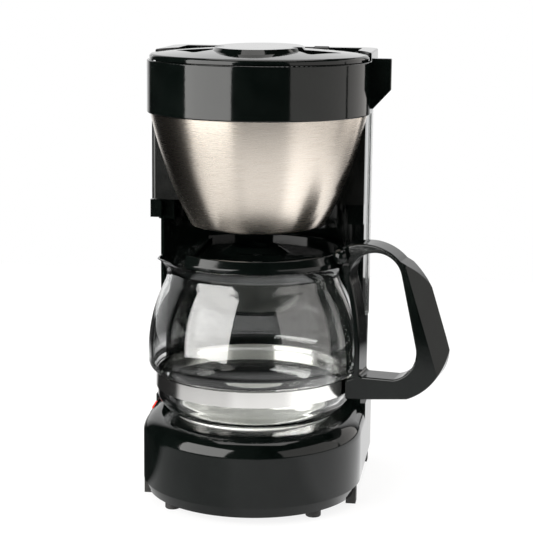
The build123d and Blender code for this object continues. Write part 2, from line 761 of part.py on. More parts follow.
WINDOW_LOW = TANK_BASE + WINDOW_RISE
WINDOW_SLOT = (WINDOW_WIDTH / 2 + ASSEMBLY_GAP, WINDOW_HEIGHT + 2 * ASSEMBLY_GAP)
with BuildPart() as tower_housing:
    block(BASE_TOP, (-TOWER_HALF, WING_FRONT), (TOWER_HALF, BODY_REAR), COLLAR_LOW - BASE_TOP)
    fillet(tower_housing.edges().filter_by(Axis.Z).group_by(Axis.Y)[-1], REAR_ROUND)
    post(BASE_TOP, (0, CARAFE_BACK), CARAFE_BAY_RADIUS, BASKET_LOW - BASE_TOP, Mode.SUBTRACT)
    block(
        BASE_TOP,
        (-TOWER_HALF, WING_FRONT),
        (TOWER_HALF, BAY_WING_FRONT),
        BASKET_LOW - BASE_TOP,
        Mode.SUBTRACT,
    )
    post(BASKET_LOW, (0, BASKET_BACK), CUP_BAY_RADIUS, COLLAR_LOW - BASKET_LOW, Mode.SUBTRACT)
    add(COLUMN_ROOM, mode=Mode.SUBTRACT)
    add(LOWER_TANK, mode=Mode.SUBTRACT)
    add(UPPER_TANK, mode=Mode.SUBTRACT)
    for place in TOWER_SCREWS:
        post(BASE_TOP, place, BOSS_RADIUS, TOWER_BOSS_HEIGHT)
    for place in (COLD_PLACE, HOT_PLACE):
        post(TANK_LOW - NIPPLE_LENGTH, place, NIPPLE_RADIUS, NIPPLE_LENGTH)
        post(TANK_LOW - NIPPLE_LENGTH, place, NIPPLE_BORE, NIPPLE_LENGTH + TANK_FLOOR_THICK, Mode.SUBTRACT)
    for place in TOWER_SCREWS:
        post(BASE_TOP, place, SCREW_HOLE, SCREW_LENGTH, Mode.SUBTRACT)
    for low, height in (
        (KNUCKLE_TOP - KNUCKLE_HEIGHT, KNUCKLE_HEIGHT),
        (UPPER_KNUCKLE_LOW, UPPER_KNUCKLE_HEIGHT),
    ):
        block(
            low,
            (-PIN_OFFSET - KNUCKLE_HALF, KNUCKLE_FRONT),
            (-PIN_OFFSET + KNUCKLE_HALF, WING_FRONT + KNUCKLE_ROOT),
            height,
        )
        post(low, (-PIN_OFFSET, PIN_Y), PIN_RADIUS + RUNNING_FIT, height, Mode.SUBTRACT)
    block(
        ARM_LEVEL - ARM_RADIUS - ARM_GAP,
        (-HOSE_SPREAD - NOTCH_MARGIN, BASKET_BACK + CUP_BAY_RADIUS / 2),
        (-HOSE_SPREAD / 2 + NOTCH_MARGIN, HOSE_BACK),
        COLLAR_LOW - ARM_LEVEL + ARM_RADIUS + ARM_GAP,
        Mode.SUBTRACT,
    )
    with BuildSketch(side_plane(TOWER_HALF)):
        with Locations((WINDOW_BACK, WINDOW_LOW + WINDOW_HEIGHT / 2)):
            Rectangle(2 * WINDOW_SLOT[0], WINDOW_SLOT[1])
    extrude(amount=-WALL, mode=Mode.SUBTRACT)
keep(tower_housing.part, "tower_housing")

with BuildPart() as tower_screws:
    for place in TOWER_SCREWS:
        post(BASE_TOP - WALL - SCREW_HEAD_HEIGHT, place, SCREW_HEAD_RADIUS, SCREW_HEAD_HEIGHT)
        post(BASE_TOP - WALL, place, SCREW_RADIUS, WALL + SCREW_LENGTH - SCREW_END)
keep(tower_screws.part, "tower_screws")

with BuildPart() as tank_window:
    with BuildSketch(side_plane(TOWER_HALF)):
        with Locations((WINDOW_BACK, WINDOW_LOW + WINDOW_HEIGHT / 2)):
            RectangleRounded(
                WINDOW_WIDTH + 2 * WINDOW_FLANGE,
                WINDOW_HEIGHT + 2 * WINDOW_FLANGE,
                WINDOW_FLANGE,
            )
    extrude(amount=WINDOW_LIP)
    with BuildSketch(side_plane(TOWER_HALF)):
        with Locations((WINDOW_BACK, WINDOW_LOW + WINDOW_HEIGHT / 2)):
            Rectangle(WINDOW_WIDTH, WINDOW_HEIGHT)
    extrude(amount=-WALL)
keep(tank_window.part, "tank_window")

# Riser in the tank, and the arm that carries hot water over the filter
ARM_FOOT = ARM_LEVEL - ARM_RADIUS - ARM_DROP
with BuildPart() as riser_tube:
    post(TANK_BASE, HOT_PLACE, RISER_RADIUS, ARM_FOOT - TANK_BASE)
    post(TANK_BASE, HOT_PLACE, NIPPLE_BORE, ARM_FOOT - TANK_BASE, Mode.SUBTRACT)
keep(riser_tube.part, "riser_tube")

ARM_START = Vector(AXIS_X - HOSE_SPREAD, HOSE_LINE, ARM_FOOT)
ARM_TURN = Vector(AXIS_X - HOSE_SPREAD, HOSE_LINE, ARM_LEVEL)
ARM_END = Vector(AXIS_X, AXIS_Y + BASKET_BACK, ARM_LEVEL)
ARM_TIP = Vector(AXIS_X, AXIS_Y + BASKET_BACK, ARM_FOOT)
SHOWER_LOW = ARM_FOOT - SHOWER_HEIGHT
with BuildPart() as shower_arm:
    with BuildLine() as arm_route:
        FilletPolyline(ARM_START, ARM_TURN, ARM_END, ARM_TIP, radius=ARM_BEND)
    with BuildSketch(Plane(origin=ARM_START)):
        Circle(ARM_RADIUS)
        Circle(ARM_BORE, mode=Mode.SUBTRACT)
    sweep(path=arm_route.line)
    post(SHOWER_LOW, (0, BASKET_BACK), SHOWER_RADIUS, SHOWER_HEIGHT)
    post(
        SHOWER_LOW,
        (0, BASKET_BACK),
        SHOWER_RADIUS - SHOWER_WALL,
        SHOWER_HEIGHT - SHOWER_WALL,
        Mode.SUBTRACT,
    )
    post(SHOWER_LOW, (0, BASKET_BACK), ARM_BORE, SHOWER_HEIGHT, Mode.SUBTRACT)
keep(shower_arm.part, "shower_arm")

# Switch: bezel, lit rocker and the body behind it
ROCKER_LENGTH = SWITCH_LENGTH - 2 * SWITCH_FRAME - 2 * MOVING_GAP
ROCKER_WIDTH = SWITCH_WIDTH - 2 * SWITCH_FRAME - 2 * MOVING_GAP
PIVOT_END = SWITCH_WIDTH / 2 - SWITCH_FRAME + PIVOT_REACH
ROCKER_PLANE = Plane(
    origin=SWITCH_PLANE.origin,
    x_dir=SWITCH_PLANE.x_dir,
    z_dir=-SWITCH_PLANE.y_dir,
)
with BuildPart() as switch_bezel:
    with BuildSketch(SWITCH_PLANE):
        Rectangle(SWITCH_LENGTH, SWITCH_WIDTH)
        Rectangle(SWITCH_LENGTH - 2 * SWITCH_FRAME, SWITCH_WIDTH - 2 * SWITCH_FRAME, mode=Mode.SUBTRACT)
    extrude(amount=-SWITCH_DEPTH / 2)
    with BuildSketch(ROCKER_PLANE):
        with Locations((0, -PIVOT_DEPTH)):
            Circle(PIVOT_RADIUS + RUNNING_FIT)
    extrude(amount=PIVOT_END, both=True, mode=Mode.SUBTRACT)
keep(switch_bezel.part, "switch_bezel")

with BuildPart() as switch_body:
    with BuildSketch(SWITCH_PLANE.offset(-SWITCH_DEPTH / 2)):
        Rectangle(SWITCH_LENGTH, SWITCH_WIDTH)
    extrude(amount=-SWITCH_DEPTH / 2)
keep(switch_body.part, "switch_body")

with BuildPart() as switch_rocker:
    with BuildSketch(ROCKER_PLANE):
        with BuildLine():
            ThreePointArc(
                (-ROCKER_LENGTH / 2, -ROCKER_RISE),
                (0, ROCKER_PROUD),
                (ROCKER_LENGTH / 2, -ROCKER_RISE),
            )
            Polyline(
                (ROCKER_LENGTH / 2, -ROCKER_RISE),
                (ROCKER_LENGTH / 2 - ROCKER_TAPER, -SWITCH_DEPTH / 4),
                (ROCKER_TAPER - ROCKER_LENGTH / 2, -SWITCH_DEPTH / 4),
                (-ROCKER_LENGTH / 2, -ROCKER_RISE),
            )
        make_face()
    extrude(amount=ROCKER_WIDTH / 2, both=True)
    with BuildSketch(ROCKER_PLANE):
        with Locations((0, -PIVOT_DEPTH)):
            Circle(PIVOT_RADIUS)
    extrude(amount=PIVOT_END - RUNNING_FIT, both=True)
keep(switch_rocker.part, "switch_rocker")

# Cord inlet: a grommet in the rear wall of the base
with BuildPart() as cord_gland:
    with BuildSketch(upright(BODY_REAR)):
        with Locations((GLAND_RIGHT, GLAND_HEIGHT)):
            Circle(GLAND_RADIUS)
    extrude(amount=-GLAND_FLANGE)
    with BuildSketch(upright(BODY_REAR)):
        with Locations((GLAND_RIGHT, GLAND_HEIGHT)):
            Circle(GLAND_RADIUS - GLAND_FLANGE)
    extrude(amount=WALL + GLAND_NECK)
    with BuildSketch(upright(BODY_REAR + GLAND_FLANGE)):
        with Locations((GLAND_RIGHT, GLAND_HEIGHT)):
            Circle(GLAND_BORE)
    extrude(amount=WALL + GLAND_NECK + GLAND_FLANGE, mode=Mode.SUBTRACT)
keep(cord_gland.part, "cord_gland")

# Collar: rim of the tank with a round seat for the lid and bearings for its hinge
LID_AXIS_LEVEL = LID_LOW + LID_AXIS_RISE
FILL_REAR = LID_AXIS_BACK - LUG_RADIUS - 2 * MOVING_GAP - COLLAR_WALL
LUG_ROOM = LUG_RADIUS + MOVING_GAP
FLAP_REAR = FILL_REAR + FILL_MARGIN
with BuildPart() as tank_collar:
    block(COLLAR_LOW, (-COLLAR_HALF, COLLAR_FRONT), (COLLAR_HALF, BODY_REAR), COLLAR_HEIGHT)
    fillet(tank_collar.edges().filter_by(Axis.Z).group_by(Axis.Y)[-1], REAR_ROUND)
    fillet(tank_collar.edges().group_by(Axis.Z)[-1], COLLAR_ROUND)
    post(COLLAR_LOW, (0, BASKET_BACK), CUP_BAY_RADIUS, COLLAR_HEIGHT, Mode.SUBTRACT)
    post(LID_LOW, (0, BASKET_BACK), LID_RADIUS + MOVING_GAP, COLLAR_HEIGHT, Mode.SUBTRACT)
    block(
        LID_LOW,
        (-LID_FLAP_HALF - MOVING_GAP, BASKET_BACK),
        (LID_FLAP_HALF + MOVING_GAP, FLAP_REAR + FLAP_SWING),
        COLLAR_HEIGHT,
        Mode.SUBTRACT,
    )
    with BuildSketch(level(COLLAR_LOW)):
        with Locations((0, (TANK_FRONT + FILL_REAR) / 2)):
            Rectangle(2 * (LID_FLAP_HALF - FILL_MARGIN), FILL_REAR - TANK_FRONT)
        with Locations((0, BASKET_BACK)):
            Circle(CUP_BAY_RADIUS + WALL, mode=Mode.SUBTRACT)
    extrude(amount=COLLAR_HEIGHT, mode=Mode.SUBTRACT)
    for side in (-1, 1):
        near = side * (LUG_SPREAD - LUG_WIDTH / 2 - MOVING_GAP)
        far = side * (LUG_SPREAD + LUG_WIDTH / 2 + MOVING_GAP)
        block(LID_LOW, (near, FLAP_REAR), (far, LID_AXIS_BACK + LUG_ROOM), COLLAR_HEIGHT, Mode.SUBTRACT)
        block(
            LID_AXIS_LEVEL - LUG_ROOM,
            (near, LID_AXIS_BACK - LUG_ROOM),
            (far, LID_AXIS_BACK + LUG_ROOM),
            LUG_ROOM,
            Mode.SUBTRACT,
        )
    with BuildSketch(side_plane(0)):
        with Locations((LID_AXIS_BACK, LID_AXIS_LEVEL)):
            Circle(LID_SHAFT_RADIUS + RUNNING_FIT)
    extrude(amount=LUG_SPREAD + LUG_WIDTH / 2 + LID_SHAFT_OVERHANG, both=True, mode=Mode.SUBTRACT)
keep(tank_collar.part, "tank_collar")

with BuildPart() as lid_pins:
    for side in (-1, 1):
        with BuildSketch(side_plane(side * LUG_SPREAD)):
            with Locations((LID_AXIS_BACK, LID_AXIS_LEVEL)):
                Circle(LID_SHAFT_RADIUS)
        extrude(amount=LUG_WIDTH / 2 + LID_SHAFT_OVERHANG, both=True)
keep(lid_pins.part, "lid_pins")


def hollow_outline(side, grow):
    """Sketch of a finger hollow in the lid: pointed in front, widest at the rear."""
    with BuildSketch() as outline:
        with BuildLine():
            Polyline(
                (side * HOLLOW_TIP, -HOLLOW_FRONT),
                (side * HOLLOW_NEAR, -HOLLOW_BACK),
                (side * HOLLOW_FAR, -HOLLOW_BACK),
                close=True,
            )
        make_face()
        fillet(outline.vertices(), HOLLOW_ROUND)
        if grow:
            offset(amount=grow)
    return outline.sketch


# Lid: a low dome with a raised tongue, a finger hollow at each side of it and two hinge lugs
LID_MIDWAY = LID_RADIUS / 2
LID_CORNER = (LID_RADIUS, LID_LOW + LID_EDGE)
with BuildPart() as lid:
    with BuildSketch(upright(BASKET_BACK)) as lid_profile:
        with BuildLine():
            ThreePointArc((0, LID_LOW + LID_DOME), (LID_MIDWAY, LID_LOW + LID_DOME_HALF), LID_CORNER)
            Polyline(
                LID_CORNER,
                (LID_RADIUS, LID_LOW),
                (LID_RADIUS - LID_WALL, LID_LOW),
                (LID_RADIUS - LID_WALL, LID_LOW + LID_EDGE - LID_WALL),
            )
            ThreePointArc(
                (LID_RADIUS - LID_WALL, LID_LOW + LID_EDGE - LID_WALL),
                (LID_MIDWAY, LID_LOW + LID_DOME_HALF - LID_WALL),
                (0, LID_LOW + LID_DOME - LID_WALL),
            )
            Line((0, LID_LOW + LID_DOME - LID_WALL), (0, LID_LOW + LID_DOME))
        make_face()
        fillet(lid_profile.vertices().sort_by_distance(LID_CORNER)[0], LID_EDGE_ROUND)
    revolve(axis=spin(BASKET_BACK))
    with BuildSketch(level(LID_LOW + LID_EDGE, BASKET_BACK)):
        Ellipse(TONGUE_HALF, TONGUE_REACH)
    with BuildSketch(level(LID_LOW + LID_CROWN, BASKET_BACK)):
        Ellipse(TONGUE_HALF - TONGUE_SLOPE, TONGUE_REACH - TONGUE_SLOPE)
    loft()
    with BuildSketch(level(LID_LOW)):
        with Locations((0, (BASKET_BACK + FLAP_REAR) / 2)):
            Rectangle(2 * LID_FLAP_HALF, FLAP_REAR - BASKET_BACK)
        with Locations((0, BASKET_BACK)):
            Circle(LID_RADIUS - LID_WALL, mode=Mode.SUBTRACT)
    extrude(amount=FLAP_THICK)
    block(
        LID_LOW,
        (-LID_FLAP_HALF, FLAP_REAR),
        (LID_FLAP_HALF, BASKET_BACK + LID_RADIUS),
        LID_CROWN,
        Mode.SUBTRACT,
    )
    for side in (-1, 1):
        with BuildSketch(level(LID_LOW, BASKET_BACK)):
            add(hollow_outline(side, LID_WALL))
        extrude(amount=HOLLOW_RIM)
    for side in (-1, 1):
        with BuildSketch(level(LID_LOW + HOLLOW_FLOOR, BASKET_BACK)):
            add(hollow_outline(side, 0))
        extrude(amount=LID_CROWN, mode=Mode.SUBTRACT)
    for side in (-1, 1):
        near = side * (LUG_SPREAD - LUG_WIDTH / 2)
        far = side * (LUG_SPREAD + LUG_WIDTH / 2)
        block(LID_LOW, (near, FLAP_REAR - LUG_RADIUS), (far, LID_AXIS_BACK), FLAP_THICK)
        with BuildSketch(side_plane(side * LUG_SPREAD)):
            with Locations((LID_AXIS_BACK, LID_AXIS_LEVEL)):
                Circle(LUG_RADIUS)
        extrude(amount=LUG_WIDTH / 2, both=True)
        with BuildSketch(side_plane(side * LUG_SPREAD)):
            with Locations((LID_AXIS_BACK, LID_AXIS_LEVEL)):
                Circle(LID_SHAFT_RADIUS + RUNNING_FIT)
        extrude(amount=LUG_WIDTH / 2, both=True, mode=Mode.SUBTRACT)
keep(lid.part, "lid")


def cone_face(inset, low):
    """Half section of the basket's front cone, set in by a wall, with its lower edge rounded."""
    with BuildSketch() as face:
        with BuildLine():
            ThreePointArc(
                (CONE_LOW_RADIUS - inset, low),
                (CONE_MID_RADIUS - inset, BASKET_LOW + CONE_MID_RISE),
                (CONE_TOP_RADIUS - inset, BAND_LOW),
            )
            Polyline(
                (CONE_TOP_RADIUS - inset, BAND_LOW), (0, BAND_LOW), (0, low), (CONE_LOW_RADIUS - inset, low)
            )
        make_face()
        fillet(face.vertices().group_by(Axis.Y)[0].sort_by(Axis.X)[-1], CONE_ROUND)
    return face.sketch


def front_cone(inset, low):
    """Solid half cone that faces the front."""
    with BuildPart() as half:
        with BuildSketch(upright(BASKET_BACK)):
            add(cone_face(inset, low))
        revolve(axis=spin(BASKET_BACK, -1), revolution_arc=180)
    return half.part


def rear_cup(inset, low):
    """Solid half cone that faces the tank."""
    with BuildPart() as half:
        with BuildSketch(upright(BASKET_BACK)):
            with BuildLine():
                Polyline(
                    (0, low),
                    (CUP_LOW_RADIUS - inset, low),
                    (CUP_TOP_RADIUS - inset, BAND_LOW),
                    (0, BAND_LOW),
                    close=True,
                )
            make_face()
        revolve(axis=spin(BASKET_BACK), revolution_arc=180)
    return half.part


def band_outline(outer, thick):
    """Sketch of a half ring round the front, with a straight tail on its right."""
    inner = outer - thick
    with BuildSketch() as outline:
        with BuildLine():
            ThreePointArc((-outer, 0), (0, -outer), (outer, 0))
            Polyline((outer, 0), (outer, BAND_TAIL), (inner, BAND_TAIL), (inner, 0))
            ThreePointArc((inner, 0), (0, -inner), (-inner, 0))
            Line((-inner, 0), (-outer, 0))
        make_face()
    return outline.sketch


# Steel skin of the basket
steel_outer = front_cone(0, BASKET_LOW)
steel_hollow = front_cone(STEEL_THICK, BASKET_LOW + STEEL_THICK)
with BuildPart() as steel_cone:
    add(steel_outer)
    add(steel_hollow, mode=Mode.SUBTRACT)
    post(BASKET_LOW, (0, BASKET_BACK), CONE_LOW_RADIUS - CONE_ROUND - CONE_LIP, STEEL_THICK, Mode.SUBTRACT)
keep(steel_cone.part, "steel_cone")

# Basket holder: front half in the skin, back panel, rear half cup, hinge barrel and filter rests
FORMER_INSET = STEEL_THICK + ASSEMBLY_GAP
FORMER_LOW = BASKET_LOW + STEEL_THICK
former_outer = front_cone(FORMER_INSET, FORMER_LOW)
former_hollow = front_cone(FORMER_INSET + HOLDER_WALL, BASKET_FLOOR)
cup_outer = rear_cup(0, FORMER_LOW)
cup_hollow = rear_cup(HOLDER_WALL, BASKET_FLOOR)
INNER_WALL_RADIUS = BAND_RADIUS - BAND_THICK - ASSEMBLY_GAP
PANEL_LOW = BASKET_LOW + PANEL_RISE
PANEL_HEIGHT = BAND_LOW - PANEL_LOW
SKIRT_REAR = WING_FRONT - SKIRT_GAP
STEM_HOLE = STEM_RADIUS + MOVING_GAP
with BuildPart() as basket_holder:
    add(former_outer)
    add(cup_outer)
    with BuildSketch(upright(BASKET_BACK)):
        add(cone_face(FORMER_INSET, FORMER_LOW))
        mirror(about=Plane.YZ)
    extrude(amount=-PANEL_THICK)
    block(PANEL_LOW, (-PIN_OFFSET, BASKET_BACK), (PANEL_HALF, BASKET_BACK + PANEL_THICK), PANEL_HEIGHT)
    block(PANEL_LOW, (PANEL_HALF - HOLDER_WALL, BASKET_BACK), (PANEL_HALF, SKIRT_REAR), PANEL_HEIGHT)
    with BuildSketch(level(BAND_LOW, BASKET_BACK)):
        add(band_outline(INNER_WALL_RADIUS, HOLDER_WALL))
    extrude(amount=INNER_WALL_HEIGHT)
    post(PANEL_LOW, (-PIN_OFFSET, PIN_Y), BARREL_RADIUS, BAND_LOW + INNER_WALL_HEIGHT - PANEL_LOW)
    block(
        PANEL_LOW,
        (-PIN_OFFSET, BASKET_BACK),
        (-PIN_OFFSET + BARREL_RADIUS, PIN_Y),
        BAND_LOW + INNER_WALL_HEIGHT - PANEL_LOW,
    )
    add(former_hollow, mode=Mode.SUBTRACT)
    add(cup_hollow, mode=Mode.SUBTRACT)
    with BuildSketch(level(BASKET_FLOOR, BASKET_BACK)):
        with PolarLocations(CAGE_RADIUS + RIB_REACH / 2 + MOVING_GAP, RIB_COUNT):
            Rectangle(RIB_REACH, RIB_THICK)
    extrude(amount=FILTER_LIFT)
    post(FORMER_LOW, (0, BASKET_BACK), STEM_HOLE, FLOOR_THICK, Mode.SUBTRACT)
    post(PANEL_LOW, (-PIN_OFFSET, PIN_Y), PIN_RADIUS + RUNNING_FIT, PIN_ENGAGE, Mode.SUBTRACT)
    post(
        BAND_LOW + INNER_WALL_HEIGHT - PIN_ENGAGE,
        (-PIN_OFFSET, PIN_Y),
        PIN_RADIUS + RUNNING_FIT,
        PIN_ENGAGE,
        Mode.SUBTRACT,
    )
keep(basket_holder.part, "basket_holder")

with BuildPart() as basket_band:
    with BuildSketch(level(BAND_LOW, BASKET_BACK)):
        add(band_outline(BAND_RADIUS, BAND_THICK))
    extrude(amount=BAND_HEIGHT)
    fillet(basket_band.faces().sort_by(Axis.Z)[-1].outer_wire().edges(), BAND_ROUND)
    fillet(basket_band.faces().sort_by(Axis.Z)[0].outer_wire().edges(), BAND_ROUND)
keep(basket_band.part, "basket_band")

with BuildPart() as pull_tab:
    with BuildSketch(upright(BASKET_BACK + BAND_TAIL)):
        with BuildLine():
            Polyline(
                (BAND_RADIUS, BAND_TOP + TAB_RISE),
                (BAND_RADIUS + TAB_REACH, BAND_TOP + TAB_RISE),
                (BAND_RADIUS + TAB_REACH, BAND_TOP + TAB_RISE - TAB_EDGE),
                (BAND_RADIUS + TAB_TOE, BAND_TOP + TAB_RISE - TAB_DROP),
                (BAND_RADIUS, BAND_TOP + TAB_RISE - TAB_DROP),
                close=True,
            )
        make_face()
    extrude(amount=TAB_DEPTH)
    fillet(pull_tab.edges().group_by(Axis.X)[-1], TAB_ROUND)
keep(pull_tab.part, "pull_tab")

with BuildPart() as basket_pins:
    post(
        KNUCKLE_TOP - KNUCKLE_HEIGHT + PIN_INSET,
        (-PIN_OFFSET, PIN_Y),
        PIN_RADIUS,
        PANEL_LOW + PIN_ENGAGE - PIN_INSET - KNUCKLE_TOP + KNUCKLE_HEIGHT - PIN_INSET,
    )
    upper_pin_low = BAND_LOW + INNER_WALL_HEIGHT - PIN_ENGAGE + PIN_INSET
    post(upper_pin_low, (-PIN_OFFSET, PIN_Y), PIN_RADIUS, COLLAR_LOW - PIN_INSET - upper_pin_low)
keep(basket_pins.part, "basket_pins")

# Filter: a windowed cone with a mesh inside it, standing on the rests of the holder
FILTER_LOW = BASKET_FLOOR + FILTER_LIFT


def filter_shell(inset, thick, low):
    """Turned cone shell of the filter."""
    top = FILTER_LOW + FILTER_HEIGHT
    with BuildPart() as shell:
        with BuildSketch(upright(BASKET_BACK)):
            with BuildLine():
                Polyline(
                    (FILTER_LOW_RADIUS - inset - thick, low),
                    (FILTER_LOW_RADIUS - inset, low),
                    (FILTER_RIM_RADIUS - inset, top),
                    (FILTER_RIM_RADIUS - inset - thick, top),
                    close=True,
                )
            make_face()
        revolve(axis=spin(BASKET_BACK))
    return shell.part


frame_shell = filter_shell(0, FILTER_WALL, FILTER_LOW)
with BuildPart() as filter_frame:
    add(frame_shell)
    post(FILTER_LOW, (0, BASKET_BACK), FILTER_LOW_RADIUS - FILTER_WALL / 2, FILTER_WALL)
    for turn in range(RIB_COUNT):
        heading = radians(360 / RIB_COUNT * turn)
        window_plane = Plane(
            origin=(AXIS_X, AXIS_Y + BASKET_BACK, 0),
            x_dir=(-sin(heading), cos(heading), 0),
            z_dir=(cos(heading), sin(heading), 0),
        )
        with BuildSketch(window_plane):
            with Locations((0, FILTER_LOW + FILTER_HEIGHT / 2)):
                RectangleRounded(
                    FILTER_LOW_RADIUS * FILTER_WINDOW_SHARE,
                    FILTER_HEIGHT * FILTER_WINDOW_SHARE,
                    FILTER_WINDOW_ROUND,
                )
        extrude(amount=FILTER_RIM_RADIUS, mode=Mode.SUBTRACT)
    with BuildSketch(level(FILTER_LOW + FILTER_HEIGHT - FILTER_RIM_WIDTH, BASKET_BACK)):
        Circle(FILTER_RIM_RADIUS + FILTER_WALL)
        Circle(FILTER_RIM_RADIUS - FILTER_WALL, mode=Mode.SUBTRACT)
    extrude(amount=FILTER_RIM_WIDTH)
keep(filter_frame.part, "filter_frame")

keep(filter_shell(FILTER_WALL + ASSEMBLY_GAP, MESH_THICK, FILTER_LOW + FILTER_WALL), "filter_mesh")

# Drip valve: plunger with its gasket, held down by a spring under a cage
PLUNGER_LOW = BASKET_FLOOR + GASKET_THICK
PLUNGER_TOP = PLUNGER_LOW + PLUNGER_THICK
with BuildPart() as valve_plunger:
    post(PLUNGER_LOW, (0, BASKET_BACK), PLUNGER_RADIUS, PLUNGER_THICK)
    post(BASKET_LOW - STEM_DROP, (0, BASKET_BACK), STEM_RADIUS, PLUNGER_LOW - BASKET_LOW + STEM_DROP)
    post(PLUNGER_TOP, (0, BASKET_BACK), GUIDE_RADIUS, GUIDE_LENGTH)
keep(valve_plunger.part, "valve_plunger")

with BuildPart() as valve_gasket:
    post(BASKET_FLOOR, (0, BASKET_BACK), PLUNGER_RADIUS, GASKET_THICK)
    post(BASKET_FLOOR, (0, BASKET_BACK), STEM_RADIUS + RUNNING_FIT, GASKET_THICK, Mode.SUBTRACT)
keep(valve_gasket.part, "valve_gasket")

with BuildPart() as valve_cage:
    post(BASKET_FLOOR, (0, BASKET_BACK), CAGE_RADIUS, CAGE_HEIGHT)
    post(BASKET_FLOOR, (0, BASKET_BACK), CAGE_RADIUS - CAGE_WALL, CAGE_HEIGHT - CAGE_WALL, Mode.SUBTRACT)
    post(BASKET_FLOOR, (0, BASKET_BACK), GUIDE_RADIUS + MOVING_GAP, CAGE_HEIGHT, Mode.SUBTRACT)
    block(
        BASKET_FLOOR + CAGE_WALL,
        (-CAGE_RADIUS, BASKET_BACK - PLUNGER_RADIUS / 2),
        (CAGE_RADIUS, BASKET_BACK + PLUNGER_RADIUS / 2),
        CAGE_HEIGHT - 3 * CAGE_WALL,
        Mode.SUBTRACT,
    )
keep(valve_cage.part, "valve_cage")

SPRING_LENGTH = CAGE_HEIGHT - CAGE_WALL - GASKET_THICK - PLUNGER_THICK
with BuildPart() as valve_spring:
    post(PLUNGER_TOP, (0, BASKET_BACK), SPRING_RADIUS, SPRING_LENGTH)
    post(PLUNGER_TOP, (0, BASKET_BACK), SPRING_RADIUS - SPRING_WIRE, SPRING_LENGTH, Mode.SUBTRACT)
keep(valve_spring.part, "valve_spring")


def glass_face(inset):
    """Half section of the carafe, set in by the glass where it is the hollow."""
    waist = PLATE_TOP + CHROME_LOW + CHROME_HEIGHT + WAIST_RISE
    low = PLATE_TOP + inset
    heel = low + CARAFE_HEEL
    with BuildSketch() as face:
        with BuildLine():
            Polyline((0, RIM), (0, low), (CARAFE_FOOT_RADIUS, low))
            TangentArc((CARAFE_FOOT_RADIUS, low), (CARAFE_WAIST_RADIUS - inset, heel), tangent=(1, 0))
            Line((CARAFE_WAIST_RADIUS - inset, heel), (CARAFE_WAIST_RADIUS - inset, waist))
            ThreePointArc(
                (CARAFE_WAIST_RADIUS - inset, waist),
                (CARAFE_BELLY_RADIUS - inset - TUCK, waist + TUCK_RISE),
                (CARAFE_BELLY_RADIUS - inset, PLATE_TOP + CARAFE_BELLY_LOW),
            )
            ThreePointArc(
                (CARAFE_BELLY_RADIUS - inset, PLATE_TOP + CARAFE_BELLY_LOW),
                (CARAFE_BELLY_RADIUS - inset - BELLY_FALL, PLATE_TOP + CARAFE_BELLY_MID),
                (CARAFE_CHEST_RADIUS - inset, RIM - CHEST_DROP),
            )
            ThreePointArc(
                (CARAFE_CHEST_RADIUS - inset, RIM - CHEST_DROP),
                (CARAFE_NECK_RADIUS - inset, RIM - NECK_DROP),
                (CARAFE_RIM_RADIUS - inset, RIM),
            )
            Line((CARAFE_RIM_RADIUS - inset, RIM), (0, RIM))
        make_face()
    return face.sketch


def spout_cone(foot, mouth):
    """Leaning cone that opens towards the left and forms the pouring lip."""
    lean = radians(SPOUT_LEAN)
    spout_plane = Plane(
        origin=(AXIS_X - SPOUT_REACH, AXIS_Y + CARAFE_BACK, RIM),
        x_dir=(0, 1, 0),
        z_dir=(-sin(lean), 0, cos(lean)),
    )
    with BuildPart() as lip:
        with BuildSketch(spout_plane.offset(-SPOUT_LENGTH)):
            Circle(foot)
        with BuildSketch(spout_plane.offset(SPOUT_LENGTH)):
            Circle(mouth)
        loft()
        split(bisect_by=level(RIM), keep=Keep.BOTTOM)
    return lip.part


# Carafe glass
glass_spout = spout_cone(SPOUT_FOOT, SPOUT_MOUTH)
spout_hollow = spout_cone(SPOUT_FOOT - SPOUT_WALL, SPOUT_MOUTH - SPOUT_WALL)
with BuildPart() as carafe_glass:
    with BuildSketch(upright(CARAFE_BACK)):
        add(glass_face(0))
    revolve(axis=spin(CARAFE_BACK))
    add(glass_spout)
    with BuildSketch(upright(CARAFE_BACK)):
        add(glass_face(GLASS_WALL))
    revolve(axis=spin(CARAFE_BACK), mode=Mode.SUBTRACT)
    add(spout_hollow, mode=Mode.SUBTRACT)
keep(carafe_glass.part, "carafe_glass")


def grip_block(low, near, far, height, half_width, mode=Mode.ADD):
    """Block in the plane of the handle, in the current part."""
    with BuildSketch(GRIP_PLANE) as side_view:
        with Locations(((near + far) / 2, low + height / 2)):
            Rectangle(far - near, height)
    extrude(side_view.sketch, amount=half_width, both=True, mode=mode)


# Bright band round the waist, with an ear that the handle is screwed to
CHROME_BASE = PLATE_TOP + CHROME_LOW
CHROME_INNER = CARAFE_WAIST_RADIUS + ASSEMBLY_GAP
CHROME_OUTER = CHROME_INNER + CHROME_THICK
BAND_SCREW_PLACE = (CHROME_OUTER + EAR_REACH / 2, CHROME_BASE + CHROME_HEIGHT / 2)
with BuildPart() as carafe_band:
    post(CHROME_BASE, (0, CARAFE_BACK), CHROME_OUTER, CHROME_HEIGHT)
    grip_block(
        CHROME_BASE + EAR_MARGIN,
        CHROME_OUTER - CHROME_THICK,
        CHROME_OUTER + EAR_REACH,
        CHROME_HEIGHT - 2 * EAR_MARGIN,
        EAR_HALF,
    )
    post(CHROME_BASE, (0, CARAFE_BACK), CHROME_INNER, CHROME_HEIGHT, Mode.SUBTRACT)
    with BuildSketch(GRIP_PLANE):
        with Locations(BAND_SCREW_PLACE):
            Circle(SCREW_HOLE)
    extrude(amount=2 * EAR_HALF, both=True, mode=Mode.SUBTRACT)
keep(carafe_band.part, "carafe_band")

